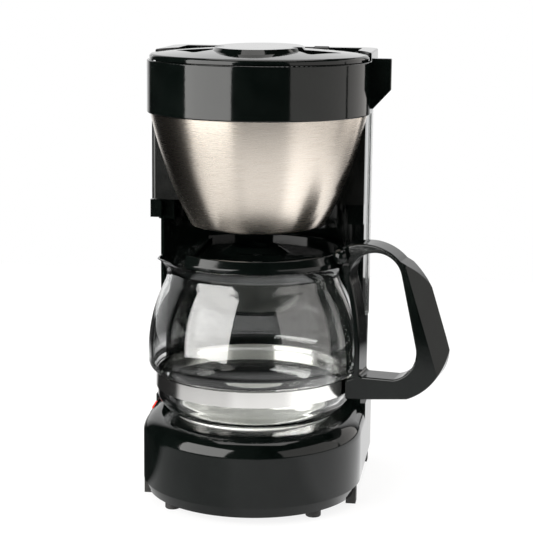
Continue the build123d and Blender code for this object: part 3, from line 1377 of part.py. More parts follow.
# Handle: a closed loop in one upright plane, with a boss for the lid hinge
STRAP_IN = CHROME_OUTER + STRAP_GAP
BELLY_IN = CARAFE_BELLY_RADIUS + STRAP_GAP
RIM_IN = CARAFE_RIM_RADIUS + STRAP_GAP
GRIP_LOW = PLATE_TOP + GRIP_FOOT
BELLY_LEVEL = PLATE_TOP + CARAFE_BELLY_LOW
HINGE_LEVEL = RIM + LID_HINGE_RISE
HINGE_PLACE = (LID_HINGE_REACH, HINGE_LEVEL)
STRAP_LOW = (BELLY_IN + STRAP_LOW_OUT, PLATE_TOP + STRAP_LOW_RISE)
STRAP_MID = (BELLY_IN + STRAP_MID_OUT, RIM - STRAP_MID_DROP)
STRAP_HIGH = (BELLY_IN + STRAP_HIGH_OUT, RIM - STRAP_HIGH_DROP)


def handle_outline():
    """Outer line of the handle in its own plane, from the hinge over the grip to the band and back up."""
    neck = (RIM_IN, RIM + NECK_RISE)
    head = (RIM_IN, HINGE_LEVEL + HEAD_RISE)
    kink = (HANDLE_REACH - KINK_IN, RIM + KINK_RISE)
    shoulder = (HANDLE_REACH - SHOULDER_IN, RIM - SHOULDER_DROP)
    corner = (HANDLE_REACH, PLATE_TOP + CORNER_RISE)
    heel = (HANDLE_REACH - HEEL_IN, PLATE_TOP + HEEL_RISE)
    with BuildSketch() as outline:
        with BuildLine():
            Line(neck, head)
            ThreePointArc(head, (HANDLE_REACH - CREST_IN, RIM + CREST_RISE), kink)
            ThreePointArc(kink, (HANDLE_REACH - SWELL_IN, RIM - SWELL_DROP), shoulder)
            Line(shoulder, corner)
            ThreePointArc(corner, (HANDLE_REACH - CHEEK_IN, PLATE_TOP + CHEEK_RISE), heel)
            Polyline(
                heel,
                (STRAP_IN, GRIP_LOW),
                (STRAP_IN, BELLY_LEVEL - TUCK_LOW),
                (BELLY_IN, BELLY_LEVEL - TUCK_HIGH),
                STRAP_LOW,
            )
            ThreePointArc(STRAP_LOW, STRAP_MID, STRAP_HIGH)
            Line(STRAP_HIGH, neck)
        make_face()
        fillet(outline.vertices(), OUTLINE_ROUND)
    return outline.sketch


def handle_opening():
    """Line round the finger opening, with the strap beside the glass on its left."""
    low, mid, high = [(reach + STRAP_THICK, rise) for reach, rise in (STRAP_LOW, STRAP_MID, STRAP_HIGH)]
    vault = (HANDLE_REACH - VAULT_IN, RIM + VAULT_RISE)
    bend = (HANDLE_REACH - BEND_IN, RIM - BEND_DROP)
    side = (HANDLE_REACH - SIDE_IN, PLATE_TOP + SIDE_RISE)
    floor = (HANDLE_REACH - FLOOR_IN, PLATE_TOP + FLOOR_RISE)
    with BuildSketch() as outline:
        with BuildLine():
            ThreePointArc(low, mid, high)
            ThreePointArc(high, (HANDLE_REACH - ARCH_IN, RIM + ARCH_RISE), vault)
            ThreePointArc(vault, (HANDLE_REACH - CROWN_IN, RIM + VAULT_RISE), bend)
            Line(bend, side)
            ThreePointArc(side, (HANDLE_REACH - BOWL_IN, PLATE_TOP + BOWL_RISE), floor)
            Polyline(floor, (low[0], PLATE_TOP + FLOOR_RISE), low)
        make_face()
        fillet(outline.vertices(), OPENING_ROUND)
    return outline.sketch


def grip_facet(direction):
    """Slanted plane that bevels the outside of the grip at its front or rear face."""
    run = Vector(FACET_RUN, -FACET_FALL, 0).normalized()
    outward = GRIP_PLANE.x_dir * -run.Y + GRIP_PLANE.y_dir * run.X
    return Plane(
        origin=GRIP_PLANE.from_local_coords(
            (HANDLE_REACH - FACET_IN, RIM + FACET_RISE, direction * HANDLE_WIDTH / 2)
        ),
        z_dir=outward + GRIP_PLANE.z_dir * direction,
    )


EAR_ROOM = LID_EAR_RADIUS + MOVING_GAP
BOSS_HALF = HINGE_BOSS_WIDTH / 2
with BuildPart() as carafe_handle:
    with BuildSketch(GRIP_PLANE):
        add(handle_outline())
        add(handle_opening(), mode=Mode.SUBTRACT)
    extrude(amount=HANDLE_WIDTH / 2, both=True)
    side_faces = carafe_handle.faces().filter_by(GeomType.PLANE).sort_by(SortBy.AREA)[-2:]
    fillet(side_faces.edges(), HANDLE_ROUND)
    for direction in (-1, 1):
        split(bisect_by=grip_facet(direction), keep=Keep.BOTTOM)
    for direction in (-1, 1):
        with BuildSketch(GRIP_PLANE.offset(direction * BOSS_HALF)):
            with Locations((LID_HINGE_REACH, HINGE_LEVEL + HINGE_CUT_RISE)):
                Rectangle(2 * EAR_ROOM, HINGE_CUT_HEIGHT)
        extrude(amount=direction * HANDLE_WIDTH, mode=Mode.SUBTRACT)
    with BuildSketch(GRIP_PLANE):
        with Locations(HINGE_PLACE):
            Circle(LID_EAR_RADIUS)
    extrude(amount=BOSS_HALF, both=True)
    with BuildSketch(GRIP_PLANE):
        with Locations(HINGE_PLACE):
            Circle(LID_PIN_RADIUS + RUNNING_FIT)
    extrude(amount=HANDLE_WIDTH, both=True, mode=Mode.SUBTRACT)
    grip_block(
        CHROME_BASE,
        CHROME_OUTER,
        CHROME_OUTER + EAR_REACH + EAR_MARGIN,
        CHROME_HEIGHT,
        EAR_HALF + ASSEMBLY_GAP,
        Mode.SUBTRACT,
    )
    with BuildSketch(GRIP_PLANE.offset(SCREW_HEAD_HEIGHT - HANDLE_WIDTH / 2)):
        with Locations(BAND_SCREW_PLACE):
            Circle(SCREW_HEAD_RADIUS + HEAD_CLEARANCE)
    extrude(amount=-HANDLE_WIDTH, mode=Mode.SUBTRACT)
    with BuildSketch(GRIP_PLANE.offset(-HANDLE_WIDTH / 2)):
        with Locations(BAND_SCREW_PLACE):
            Circle(SCREW_HOLE)
    extrude(amount=SCREW_HEAD_HEIGHT + SCREW_LENGTH, mode=Mode.SUBTRACT)
keep(carafe_handle.part, "carafe_handle")

with BuildPart() as band_screw:
    with BuildSketch(GRIP_PLANE.offset(-HANDLE_WIDTH / 2)):
        with Locations(BAND_SCREW_PLACE):
            Circle(SCREW_HEAD_RADIUS)
    extrude(amount=SCREW_HEAD_HEIGHT)
    with BuildSketch(GRIP_PLANE.offset(-HANDLE_WIDTH / 2)):
        with Locations(BAND_SCREW_PLACE):
            Circle(SCREW_RADIUS)
    extrude(amount=SCREW_HEAD_HEIGHT + SCREW_LENGTH - SCREW_END)
keep(band_screw.part, "band_screw")

# Carafe lid: it lies on the glass rim, is hollow on top and turns on a pin in the handle
LID_FLANGE_RADIUS = CARAFE_RIM_RADIUS - MOVING_GAP
LID_SKIRT_RADIUS = CARAFE_NECK_RADIUS - GLASS_WALL - LID_SKIRT_GAP
LID_WALL_TOP = RIM + CARAFE_LID_RISE
with BuildPart() as carafe_lid:
    with BuildSketch(upright(CARAFE_BACK)):
        with BuildLine():
            Polyline(
                (BREW_HOLE, RIM + LID_DISH_RISE - CARAFE_LID_WALL),
                (BREW_HOLE, RIM + DOME_RISE),
                (DOME_HEAD, RIM + DOME_RISE),
                (DOME_FOOT, RIM + LID_DISH_RISE),
                (LID_DISH_RADIUS, RIM + LID_DISH_RISE),
                (LID_DISH_RADIUS, LID_WALL_TOP),
                (LID_DISH_RADIUS + CARAFE_LID_WALL, LID_WALL_TOP),
                (LID_FLANGE_RADIUS, RIM + CARAFE_LID_WALL),
                (LID_FLANGE_RADIUS, RIM),
                (LID_SKIRT_RADIUS, RIM),
                (LID_SKIRT_RADIUS, RIM - LID_SKIRT_DEPTH),
                (LID_SKIRT_RADIUS - CARAFE_LID_WALL, RIM - LID_SKIRT_DEPTH),
                (LID_SKIRT_RADIUS - CARAFE_LID_WALL, RIM + LID_DISH_RISE - CARAFE_LID_WALL),
                close=True,
            )
        make_face()
    revolve(axis=spin(CARAFE_BACK))
    lid_rings = carafe_lid.edges().filter_by(GeomType.CIRCLE)
    fillet(lid_rings.filter_by_position(Axis.Z, LID_WALL_TOP, LID_WALL_TOP), LID_TOP_ROUND)
    flange_level = RIM + CARAFE_LID_WALL
    lid_rings = carafe_lid.edges().filter_by(GeomType.CIRCLE)
    fillet(lid_rings.filter_by_position(Axis.Z, flange_level, flange_level), LID_FLANGE_ROUND)
    block(
        RIM - LID_SKIRT_DEPTH,
        (-CARAFE_RIM_RADIUS, CARAFE_BACK - CARAFE_RIM_RADIUS),
        (-POUR_CUT, CARAFE_BACK + CARAFE_RIM_RADIUS),
        LID_SKIRT_DEPTH + CARAFE_LID_RISE,
        Mode.SUBTRACT,
    )
    pour_half = sqrt((LID_DISH_RADIUS + CARAFE_LID_WALL / 2) ** 2 - POUR_CUT**2)
    block(
        RIM + LID_DISH_RISE - CARAFE_LID_WALL,
        (-POUR_CUT, CARAFE_BACK - pour_half),
        (-POUR_CUT + CARAFE_LID_WALL, CARAFE_BACK + pour_half),
        CARAFE_LID_RISE - LID_DISH_RISE + CARAFE_LID_WALL - 2 * LID_TOP_ROUND,
    )
    grip_block(
        RIM,
        LID_HINGE_REACH - LID_EAR_RADIUS - 2 * MOVING_GAP,
        LID_HINGE_REACH,
        CARAFE_LID_RISE,
        BOSS_HALF + MOVING_GAP,
        Mode.SUBTRACT,
    )
    with BuildSketch(level(RIM + LID_DISH_RISE, CARAFE_BACK)):
        with Locations((BAR_RIGHT, -BAR_FORWARD)):
            Rectangle(BAR_WIDTH, BAR_DEPTH)
    extrude(amount=BAR_RISE - LID_DISH_RISE)
    for direction in (-1, 1):
        ear_plane = GRIP_PLANE.offset(direction * (BOSS_HALF + MOVING_GAP))
        with BuildSketch(ear_plane):
            with Locations(HINGE_PLACE):
                Circle(LID_EAR_RADIUS)
            with Locations(((LID_DISH_RADIUS + LID_HINGE_REACH) / 2, LID_WALL_TOP - LID_ARM_DEPTH / 2)):
                Rectangle(LID_HINGE_REACH - LID_DISH_RADIUS, LID_ARM_DEPTH)
            with Locations(HINGE_PLACE):
                Circle(LID_PIN_RADIUS + RUNNING_FIT, mode=Mode.SUBTRACT)
        extrude(amount=direction * LID_EAR_WIDTH)
keep(carafe_lid.part, "carafe_lid")

EAR_OUTSIDE = BOSS_HALF + MOVING_GAP + LID_EAR_WIDTH + MOVING_GAP
with BuildPart() as carafe_lid_pin:
    with BuildSketch(GRIP_PLANE):
        with Locations(HINGE_PLACE):
            Circle(LID_PIN_RADIUS)
    extrude(amount=EAR_OUTSIDE + LID_BALL_RADIUS / 2, both=True)
    for direction in (-1, 1):
        ball_plane = GRIP_PLANE.offset(direction * (EAR_OUTSIDE + LID_BALL_RADIUS / 2))
        with Locations(ball_plane * Location((LID_HINGE_REACH, HINGE_LEVEL, 0))):
            Sphere(LID_BALL_RADIUS)
    ball_trim = GRIP_PLANE.offset(-EAR_OUTSIDE)
    with BuildSketch(ball_trim):
        with Locations(HINGE_PLACE):
            Circle(2 * LID_BALL_RADIUS)
            Circle(LID_PIN_RADIUS, mode=Mode.SUBTRACT)
    extrude(amount=2 * EAR_OUTSIDE, mode=Mode.SUBTRACT)
keep(carafe_lid_pin.part, "carafe_lid_pin")
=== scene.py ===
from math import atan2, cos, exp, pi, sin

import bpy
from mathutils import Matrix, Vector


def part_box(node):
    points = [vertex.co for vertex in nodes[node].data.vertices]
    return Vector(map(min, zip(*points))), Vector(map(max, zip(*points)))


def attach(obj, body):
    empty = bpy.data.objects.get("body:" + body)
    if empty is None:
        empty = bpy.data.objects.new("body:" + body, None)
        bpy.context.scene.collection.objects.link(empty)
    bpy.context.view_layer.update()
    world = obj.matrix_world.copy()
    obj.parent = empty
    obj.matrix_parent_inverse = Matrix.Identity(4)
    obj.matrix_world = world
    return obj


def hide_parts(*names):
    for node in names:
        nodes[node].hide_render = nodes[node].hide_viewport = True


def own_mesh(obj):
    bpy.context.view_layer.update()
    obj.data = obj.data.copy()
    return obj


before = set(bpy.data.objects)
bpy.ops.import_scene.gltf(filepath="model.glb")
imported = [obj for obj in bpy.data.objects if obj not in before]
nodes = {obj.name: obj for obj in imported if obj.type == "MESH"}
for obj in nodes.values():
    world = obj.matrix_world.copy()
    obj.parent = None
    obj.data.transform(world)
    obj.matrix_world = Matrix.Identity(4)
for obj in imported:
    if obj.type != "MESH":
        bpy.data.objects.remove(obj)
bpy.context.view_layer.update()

# %% [markdown]
# # A small drip coffee maker
# The solids of the machine come in ready made: every housing, screw and hinge is where it belongs.
# This lesson dresses them. It sets the camera and a small photo studio first, because glossy plastic,
# steel and glass show little of their own colour and mostly mirror the room they stand in.

# %% [markdown]
# ## Camera
# The machine was photographed a little from its right and from slightly above, with a long lens.
# A camera could be aimed with a tracking constraint. Three measured directions are used instead,
# because they also hold the slight lean of the picture.

# %% Camera
eye = Vector((0.11474, -0.9611, 0.32174))
picture_right = Vector((0.9900, 0.1411, 0.0101))
picture_up = Vector((-0.0358, 0.1806, 0.9830))
towards_viewer = picture_right.cross(picture_up)
camera_data = bpy.data.cameras.new("camera")
camera_data.sensor_width = 36
camera_data.lens = 108.85
camera = bpy.data.objects.new("camera", camera_data)
bpy.context.collection.objects.link(camera)
aimed = Matrix((picture_right, picture_up, towards_viewer)).transposed().to_4x4()
camera.matrix_world = Matrix.Translation(eye) @ aimed
bpy.context.scene.camera = camera
bpy.context.scene.view_settings.view_transform = "Standard"
print("camera at", tuple(round(v, 3) for v in eye))

# %% [markdown]
# ## Helpers for node materials
# Each finish below is a small network of nodes. Wiring every node by hand is long-winded, so a few
# helpers do what repeats: one adds a node with its settings, one mixes two shaders, one starts a
# material, and the others give a cloudy pattern, a colour and a gloss that follow it, and a slight relief.


# %% Node helpers
def place(tree, kind, inputs=None, **settings):
    """Adds a node, sets its options by name and its inputs by socket name or number."""
    node = tree.nodes.new(kind)
    for key, value in settings.items():
        setattr(node, key, value)
    for key, value in (inputs or {}).items():
        if isinstance(value, bpy.types.NodeSocket):
            tree.links.new(value, node.inputs[key])
        else:
            node.inputs[key].default_value = value
    return node


def mix(tree, share, first, second):
    """A shader that goes over from the first to the second as the share grows from 0 to 1."""
    inputs = {0: share, 1: first.outputs[0], 2: second.outputs[0]}
    return place(tree, "ShaderNodeMixShader", inputs)


def start_finish(name, **sockets):
    """A new material with one principled shader whose constant sockets are set."""
    material = bpy.data.materials.new(name)
    material.use_nodes = True
    shader = material.node_tree.nodes["Principled BSDF"]
    for key, value in sockets.items():
        shader.inputs[key.replace("_", " ")].default_value = value
    return material, material.node_tree, shader


def mottle(tree, scale, detail=3.0, stretch=(1, 1, 1)):
    """A cloudy pattern that is fixed to the piece, stretched along its axes where asked."""
    where = place(tree, "ShaderNodeTexCoord")
    shape = place(tree, "ShaderNodeMapping", {"Vector": where.outputs["Object"], "Scale": stretch})
    inputs = {"Vector": shape.outputs[0], "Scale": scale, "Detail": detail}
    return place(tree, "ShaderNodeTexNoise", inputs)


def between(tree, source, low, high):
    """A number from 0 to 1 spread over a new span."""
    span = place(tree, "ShaderNodeMapRange", {"Value": source, "To Min": low, "To Max": high})
    return span.outputs[0]


def tint(tree, source, dark, light):
    """A colour between two others, chosen by a number that mostly lies between 0.3 and 0.7."""
    ramp = place(tree, "ShaderNodeValToRGB", {"Fac": source})
    ramp.color_ramp.elements[0].position = 0.3
    ramp.color_ramp.elements[0].color = (*dark, 1)
    ramp.color_ramp.elements[1].position = 0.7
    ramp.color_ramp.elements[1].color = (*light, 1)
    return ramp.outputs["Color"]


def paint(tree, shader, pattern, dark, light, smooth, rough):
    """Colour and gloss that both vary with one pattern."""
    tree.links.new(tint(tree, pattern, dark, light), shader.inputs["Base Color"])
    tree.links.new(between(tree, pattern, smooth, rough), shader.inputs["Roughness"])


def roughen(tree, shader, height, strength, distance):
    """Raises the surface a little by a pattern."""
    bump = place(tree, "ShaderNodeBump", {"Height": height, "Strength": strength, "Distance": distance})
    tree.links.new(bump.outputs["Normal"], shader.inputs["Normal"])


# %% [markdown]
# ## Studio
# The photograph has a white ground, a large soft light at the left front, duller ones at the right.
# The room itself is dark, and that is what keeps the black plastic black. A white world would wash it
# out, so the world is white for the eye and behind the object, and dim elsewhere. Bent glass looks
# round a wider part of the room than a mirror does, so for it the white reaches further to the left.

# %% What mirrors and glass see of the room
white = (1, 1, 1, 1)
dark_room = (0.012, 0.012, 0.012, 1)
backdrop_way, backdrop_edge = (-0.14, 0.96, 0.22), (0.80, 0.90)
glass_way, glass_edge = (-0.45, 0.89, 0.05), (0.62, 0.72)
world = bpy.data.worlds.new("studio")
bpy.context.scene.world = world
world.use_nodes = True
sky = world.node_tree
sky.nodes.clear()
ray = place(sky, "ShaderNodeLightPath")
aim = place(sky, "ShaderNodeTexCoord")


def heading(way, edge, least=0.0):
    """1 where a ray heads that way, falling to the least value over the edge of a wide cone."""
    sides = {0: aim.outputs["Generated"], 1: way}
    near = place(sky, "ShaderNodeVectorMath", sides, operation="DOT_PRODUCT")
    inputs = {"Value": near.outputs["Value"], "From Min": edge[0], "From Max": edge[1], "To Min": least}
    return place(sky, "ShaderNodeMapRange", inputs).outputs[0]


backdrop = heading(backdrop_way, backdrop_edge)
room = place(sky, "ShaderNodeMix", {"Factor": backdrop, "A": dark_room, "B": white}, data_type="RGBA")
mirrored = place(sky, "ShaderNodeBackground", {"Color": room.outputs["Result"], "Strength": 1.0})
far_side = heading(glass_way, glass_edge, 0.02)
through = place(sky, "ShaderNodeBackground", {"Color": white, "Strength": far_side})
print("dark room:", dark_room[0], "white towards:", backdrop_way)

# %% World for each kind of ray
plain = place(sky, "ShaderNodeBackground", {"Color": white, "Strength": 1.0})
fill = place(sky, "ShaderNodeBackground", {"Color": (1, 0.98, 0.96, 1), "Strength": 0.35})
lit = mix(sky, ray.outputs["Is Glossy Ray"], fill, mirrored)
glazed = mix(sky, ray.outputs["Is Transmission Ray"], lit, through)
seen = mix(sky, ray.outputs["Is Camera Ray"], glazed, plain)
place(sky, "ShaderNodeOutputWorld", {"Surface": seen.outputs[0]})
print("world nodes:", len(sky.nodes))


# %% Lamps
def soft_panel(name, spot, target, width, height, watts, colour):
    """A flat lamp that faces a point."""
    lamp = bpy.data.lights.new(name, "AREA")
    lamp.shape = "RECTANGLE"
    lamp.size = width
    lamp.size_y = height
    lamp.energy = watts
    lamp.color = colour
    holder = bpy.data.objects.new(name, lamp)
    bpy.context.collection.objects.link(holder)
    facing = Vector(target) - Vector(spot)
    holder.location = spot
    holder.rotation_euler = facing.to_track_quat("-Z", "Y").to_euler()


middle = (0, 0, 0.14)
daylight, warm, mild = (1.0, 0.99, 0.97), (1.0, 0.97, 0.94), (1.0, 0.98, 0.96)
soft_panel("left_window", (-1.135, -1.115, 0.60), middle, 1.65, 1.6, 58, daylight)
soft_panel("right_panel", (1.46, -0.47, 0.45), middle, 2.14, 1.4, 13.5, warm)
soft_panel("right_rear", (1.19, 0.96, 0.45), middle, 1.2, 1.4, 7.5, warm)
soft_panel("overhead", (0.0, 0.15, 1.5), middle, 1.2, 1.0, 14, mild)
print("lamps:", len(bpy.data.lights))

# %% [markdown]
# ## Floor
# A plain white sheet. It is partly self-lit for the eye, so it melts into the white ground and still
# takes the soft shadow of the machine. What the machine mirrors of it matters more: the sheet is bright
# in front, at the right and behind, where the lamps pour onto it, and dark at the left and left rear.
# Many small lamps could do that. A ramp of brightness that follows the angle round the machine is easier
# to steer: its places run from 0 behind, by 0.25 at the left, 0.5 in front and 0.75 at the right, to 1.

# %% Pools of light on the floor
floor_paint = bpy.data.materials.new("floor_sheet")
floor_paint.use_nodes = True
ground = floor_paint.node_tree
ground.nodes.clear()
way = place(ground, "ShaderNodeLightPath")
spot = place(ground, "ShaderNodeTexCoord")
flat = place(ground, "ShaderNodeSeparateXYZ", {0: spot.outputs["Object"]})
ahead = place(ground, "ShaderNodeMath", {0: flat.outputs["Y"], 1: -1.0}, operation="MULTIPLY")
angle = place(
    ground, "ShaderNodeMath", {0: flat.outputs["X"], 1: ahead.outputs[0]}, operation="ARCTAN2"
)
circle = place(
    ground, "ShaderNodeMapRange", {"Value": angle.outputs[0], "From Min": -pi, "From Max": pi}
)
pools = place(ground, "ShaderNodeValToRGB", {"Fac": circle.outputs[0]})
for end in pools.color_ramp.elements:
    end.color = (0.9, 0.9, 0.9, 1)
dark_corner = ((0.10, 0.9), (0.14, 0.02), (0.265, 0.02), (0.285, 0.62))
front = ((0.43, 0.66), (0.46, 0.92), (0.60, 0.92))
right_side = ((0.64, 1.35), (0.80, 1.2), (0.90, 0.9))
for place_on_circle, level in dark_corner + front + right_side:
    stop = pools.color_ramp.elements.new(place_on_circle)
    stop.color = (level, level, level, 1)
away = place(ground, "ShaderNodeVectorMath", {0: spot.outputs["Object"]}, operation="LENGTH")
pool_end, pool_gone = 0.36, 0.47
fade = place(
    ground,
    "ShaderNodeMapRange",
    {
        "Value": away.outputs["Value"],
        "From Min": pool_end,
        "From Max": pool_gone,
        "To Min": 1.1,
        "To Max": 0.05,
    },
)
print("stops in the ring of light:", len(pools.color_ramp.elements))

# %% Floor sheet
self_lit = 0.8
grain = mottle(ground, 40.0)
chalk = place(
    ground,
    "ShaderNodeBsdfDiffuse",
    {"Color": tint(ground, grain.outputs["Fac"], (0.90, 0.90, 0.90), (0.92, 0.92, 0.92))},
)
glow = place(ground, "ShaderNodeEmission", {"Color": white, "Strength": 1.06})
pooled = place(
    ground, "ShaderNodeEmission", {"Color": pools.outputs["Color"], "Strength": fade.outputs[0]}
)
looks = place(
    ground,
    "ShaderNodeMath",
    {0: way.outputs["Is Camera Ray"], 1: way.outputs["Is Transmission Ray"]},
    operation="MAXIMUM",
)
share = place(ground, "ShaderNodeMath", {0: looks.outputs[0], 1: self_lit}, operation="MULTIPLY")
sheet = mix(ground, share.outputs[0], chalk, glow)
mirrored_sheet = mix(ground, way.outputs["Is Glossy Ray"], sheet, pooled)
place(ground, "ShaderNodeOutputMaterial", {"Surface": mirrored_sheet.outputs[0]})
floor_mesh = bpy.data.meshes.new("floor")
reach = 0.7
corners = [(-reach, -reach, 0), (reach, -reach, 0), (reach, reach, 0), (-reach, reach, 0)]
floor_mesh.from_pydata(corners, [], [(0, 1, 2, 3)])
floor = bpy.data.objects.new("floor", floor_mesh)
floor_mesh.materials.append(floor_paint)
bpy.context.collection.objects.link(floor)
print("floor in mm:", round(reach * 2000))

# %% [markdown]
# ## Glossy black plastic
# The housings are moulded in a deep, slightly greenish black and polished like a piano.
# A mirror would look like metal, so the shader stays a plastic that reflects little, and a very fine
# orange peel and faint uneven gloss keep the reflections from being perfect.

# %% Glossy black
gloss_black, tree, shader = start_finish("gloss_black", IOR=1.38)
cloud = mottle(tree, 60.0)
ink, bottle = (0.0010, 0.0018, 0.0015), (0.0024, 0.0036, 0.0031)
paint(tree, shader, cloud.outputs["Fac"], ink, bottle, 0.05, 0.11)
peel = mottle(tree, 260.0, 2.0)
roughen(tree, shader, peel.outputs["Fac"], 0.05, 0.0004)
print("finish:", gloss_black.name)

# %% [markdown]
# ## Satin black plastic
# The basket body, the switch and other inner mouldings are duller: their moulds leave a fine grain.
# It could be painted as an image. Noise in nodes has no seams and stays fine close by, so a small noise
# raises the surface a little, and a broad one lets the gloss wander.

# %% Satin black
satin_black, tree, shader = start_finish("satin_black", IOR=1.38)
cloud = mottle(tree, 90.0)
paint(tree, shader, cloud.outputs["Fac"], (0.002, 0.0024, 0.0022), (0.005, 0.0054, 0.005), 0.15, 0.22)
grain = mottle(tree, 1400.0, 2.0)
roughen(tree, shader, grain.outputs["Fac"], 0.06, 0.0002)
print("finish:", satin_black.name)

# %% [markdown]
# ## Brushed steel
# The cone's skin was brushed while it turned, so the scratches run round it. Noise that follows the
# angle slowly and the height fast draws such lines; it steers colour, gloss and a slight relief.
# The shader is set to blur across the lines, which gives the tall soft reflections.

# %% Brushed steel
basket_low, basket_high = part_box("steel_cone")
cone_axis = ((basket_low[0] + basket_high[0]) / 2, basket_high[1], 0)


def round_lines(tree, axis, round_scale, height_scale):
    """Noise in lines that run round an upright axis."""
    where = place(tree, "ShaderNodeTexCoord")
    local = place(
        tree, "ShaderNodeVectorMath", {0: where.outputs["Object"], 1: axis}, operation="SUBTRACT"
    )
    split = place(tree, "ShaderNodeSeparateXYZ", {0: local.outputs[0]})
    x, y, z = (split.outputs[letter] for letter in "XYZ")
    angle = place(tree, "ShaderNodeMath", {0: y, 1: x}, operation="ARCTAN2")
    along = place(tree, "ShaderNodeMath", {0: angle.outputs[0], 1: round_scale}, operation="MULTIPLY")
    high = place(tree, "ShaderNodeMath", {0: z, 1: height_scale}, operation="MULTIPLY")
    joined = place(tree, "ShaderNodeCombineXYZ", {0: along.outputs[0], 1: high.outputs[0]})
    inputs = {"Vector": joined.outputs[0], "Scale": 1.0, "Detail": 4.0}
    return place(tree, "ShaderNodeTexNoise", inputs)


brushed_steel, tree, shader = start_finish(
    "brushed_steel", Metallic=1.0, Anisotropic=0.85, Anisotropic_Rotation=0.25
)
lines = round_lines(tree, cone_axis, 4.0, 3000.0)
paint(tree, shader, lines.outputs["Fac"], (0.78, 0.70, 0.61), (0.93, 0.85, 0.76), 0.24, 0.31)
roughen(tree, shader, lines.outputs["Fac"], 0.04, 0.0002)
way_round = place(tree, "ShaderNodeTangent", direction_type="RADIAL", axis="Z")
tree.links.new(way_round.outputs[0], shader.inputs["Tangent"])
print("finish:", brushed_steel.name)

# %% [markdown]
# ## Bright metals
# The ring round the carafe is bright steel strip, polished but not flat: it ripples slightly. Its colour
# also darkens and lightens in tall streaks with the ripple, which are painted reflection streaks.
# The screws and pins are zinc plated and the heater is a grey casting. The plate is painted a pale
# grey-white that stands in for the bright white seen through the glass floor, a painted reflection.
# One grey could serve for all of them. Ripples, crystals and pores differ in size, though, and the same
# noise at another scale shows each of them at little cost.

# %% Bright metals
bright_strip, tree, shader = start_finish("bright_strip", Metallic=1.0)
ripple_and_painted_streaks = mottle(tree, 30.0, 2.0, (1, 1, 0.05))
# The ripple steers real gloss and relief, and also painted reflection streaks in the colour.
paint(tree, shader, ripple_and_painted_streaks.outputs["Fac"], (0.80, 0.79, 0.77), (0.90, 0.89, 0.87), 0.10, 0.20)
roughen(tree, shader, ripple_and_painted_streaks.outputs["Fac"], 0.10, 0.002)

zinc, tree, shader = start_finish("zinc", Metallic=1.0)
cloud = mottle(tree, 700.0)
paint(tree, shader, cloud.outputs["Fac"], (0.42, 0.43, 0.44), (0.62, 0.62, 0.60), 0.25, 0.42)

casting, tree, shader = start_finish("casting", Metallic=1.0)
cloud = mottle(tree, 400.0, 5.0)
paint(tree, shader, cloud.outputs["Fac"], (0.35, 0.35, 0.36), (0.52, 0.52, 0.52), 0.40, 0.60)
roughen(tree, shader, cloud.outputs["Fac"], 0.3, 0.0005)

# Painted reflection: the plate's pale grey-white colour stands in for the bright white seen through the
# glass floor.
plate_painted_reflection, tree, shader = start_finish("plate_painted_reflection", IOR=1.5)
wear = mottle(tree, 220.0, 4.0)
paint(tree, shader, wear.outputs["Fac"], (0.86, 0.85, 0.83), (0.93, 0.92, 0.90), 0.30, 0.45)
print("finishes:", bright_strip.name, zinc.name, casting.name, plate_painted_reflection.name)

# %% [markdown]
# ## Glass
# The carafe is clear soda glass: almost colourless through the wall and green where one looks along it.
# Tinting the surface would colour all of it alike, so the green is absorbed inside the glass instead.
# The light that falls through the glass would take very long to trace, so shadow rays pass it directly.

# %% Glass
clear_glass, tree, shader = start_finish(
    "clear_glass", Base_Color=(1, 1, 1, 1), IOR=1.52, Transmission_Weight=1.0
)
smear = mottle(tree, 25.0, 2.0)
tree.links.new(between(tree, smear.outputs["Fac"], 0.0, 0.012), shader.inputs["Roughness"])
green = place(tree, "ShaderNodeVolumeAbsorption", {"Color": (0.55, 0.92, 0.72, 1), "Density": 4.0})
tree.links.new(green.outputs[0], tree.nodes["Material Output"].inputs["Volume"])
let_through = place(tree, "ShaderNodeBsdfTransparent", {"Color": (0.955, 0.962, 0.957, 1)})
path = place(tree, "ShaderNodeLightPath")
clear = mix(tree, path.outputs["Is Shadow Ray"], shader, let_through)
tree.links.new(clear.outputs[0], tree.nodes["Material Output"].inputs["Surface"])

clear_strip, tree, shader = start_finish("clear_strip", IOR=1.49, Transmission_Weight=0.9)
smear = mottle(tree, 80.0, 2.0)
paint(tree, shader, smear.outputs["Fac"], (0.80, 0.83, 0.82), (0.90, 0.92, 0.91), 0.06, 0.16)
print("finishes:", clear_glass.name, clear_strip.name)

# %% [markdown]
# ## Rubber, silicone, mouldings and the lit rocker
# Small parts, but each has its own grain. The rocker is lit from inside. A lamp behind it would be slow
# to trace through the red plastic, so the plastic itself gives off a little light. The weave of the
# filter is a brick pattern with thin joints, because so many wires would make a very heavy mesh.

# %% Small finishes
foot_rubber, tree, shader = start_finish("foot_rubber", IOR=1.5)
cloud = mottle(tree, 500.0)
paint(tree, shader, cloud.outputs["Fac"], (0.010, 0.010, 0.010), (0.022, 0.021, 0.020), 0.55, 0.75)
roughen(tree, shader, cloud.outputs["Fac"], 0.2, 0.0004)

grey_seal, tree, shader = start_finish("grey_seal", IOR=1.42)
cloud = mottle(tree, 500.0)
paint(tree, shader, cloud.outputs["Fac"], (0.16, 0.16, 0.16), (0.24, 0.24, 0.23), 0.45, 0.6)

milky_silicone, tree, shader = start_finish("milky_silicone", IOR=1.42, Transmission_Weight=0.3)
cloud = mottle(tree, 300.0)
paint(tree, shader, cloud.outputs["Fac"], (0.70, 0.70, 0.66), (0.80, 0.80, 0.77), 0.35, 0.5)

white_moulding, tree, shader = start_finish("white_moulding", IOR=1.48)
cloud = mottle(tree, 300.0)
paint(tree, shader, cloud.outputs["Fac"], (0.72, 0.72, 0.69), (0.80, 0.80, 0.78), 0.3, 0.45)

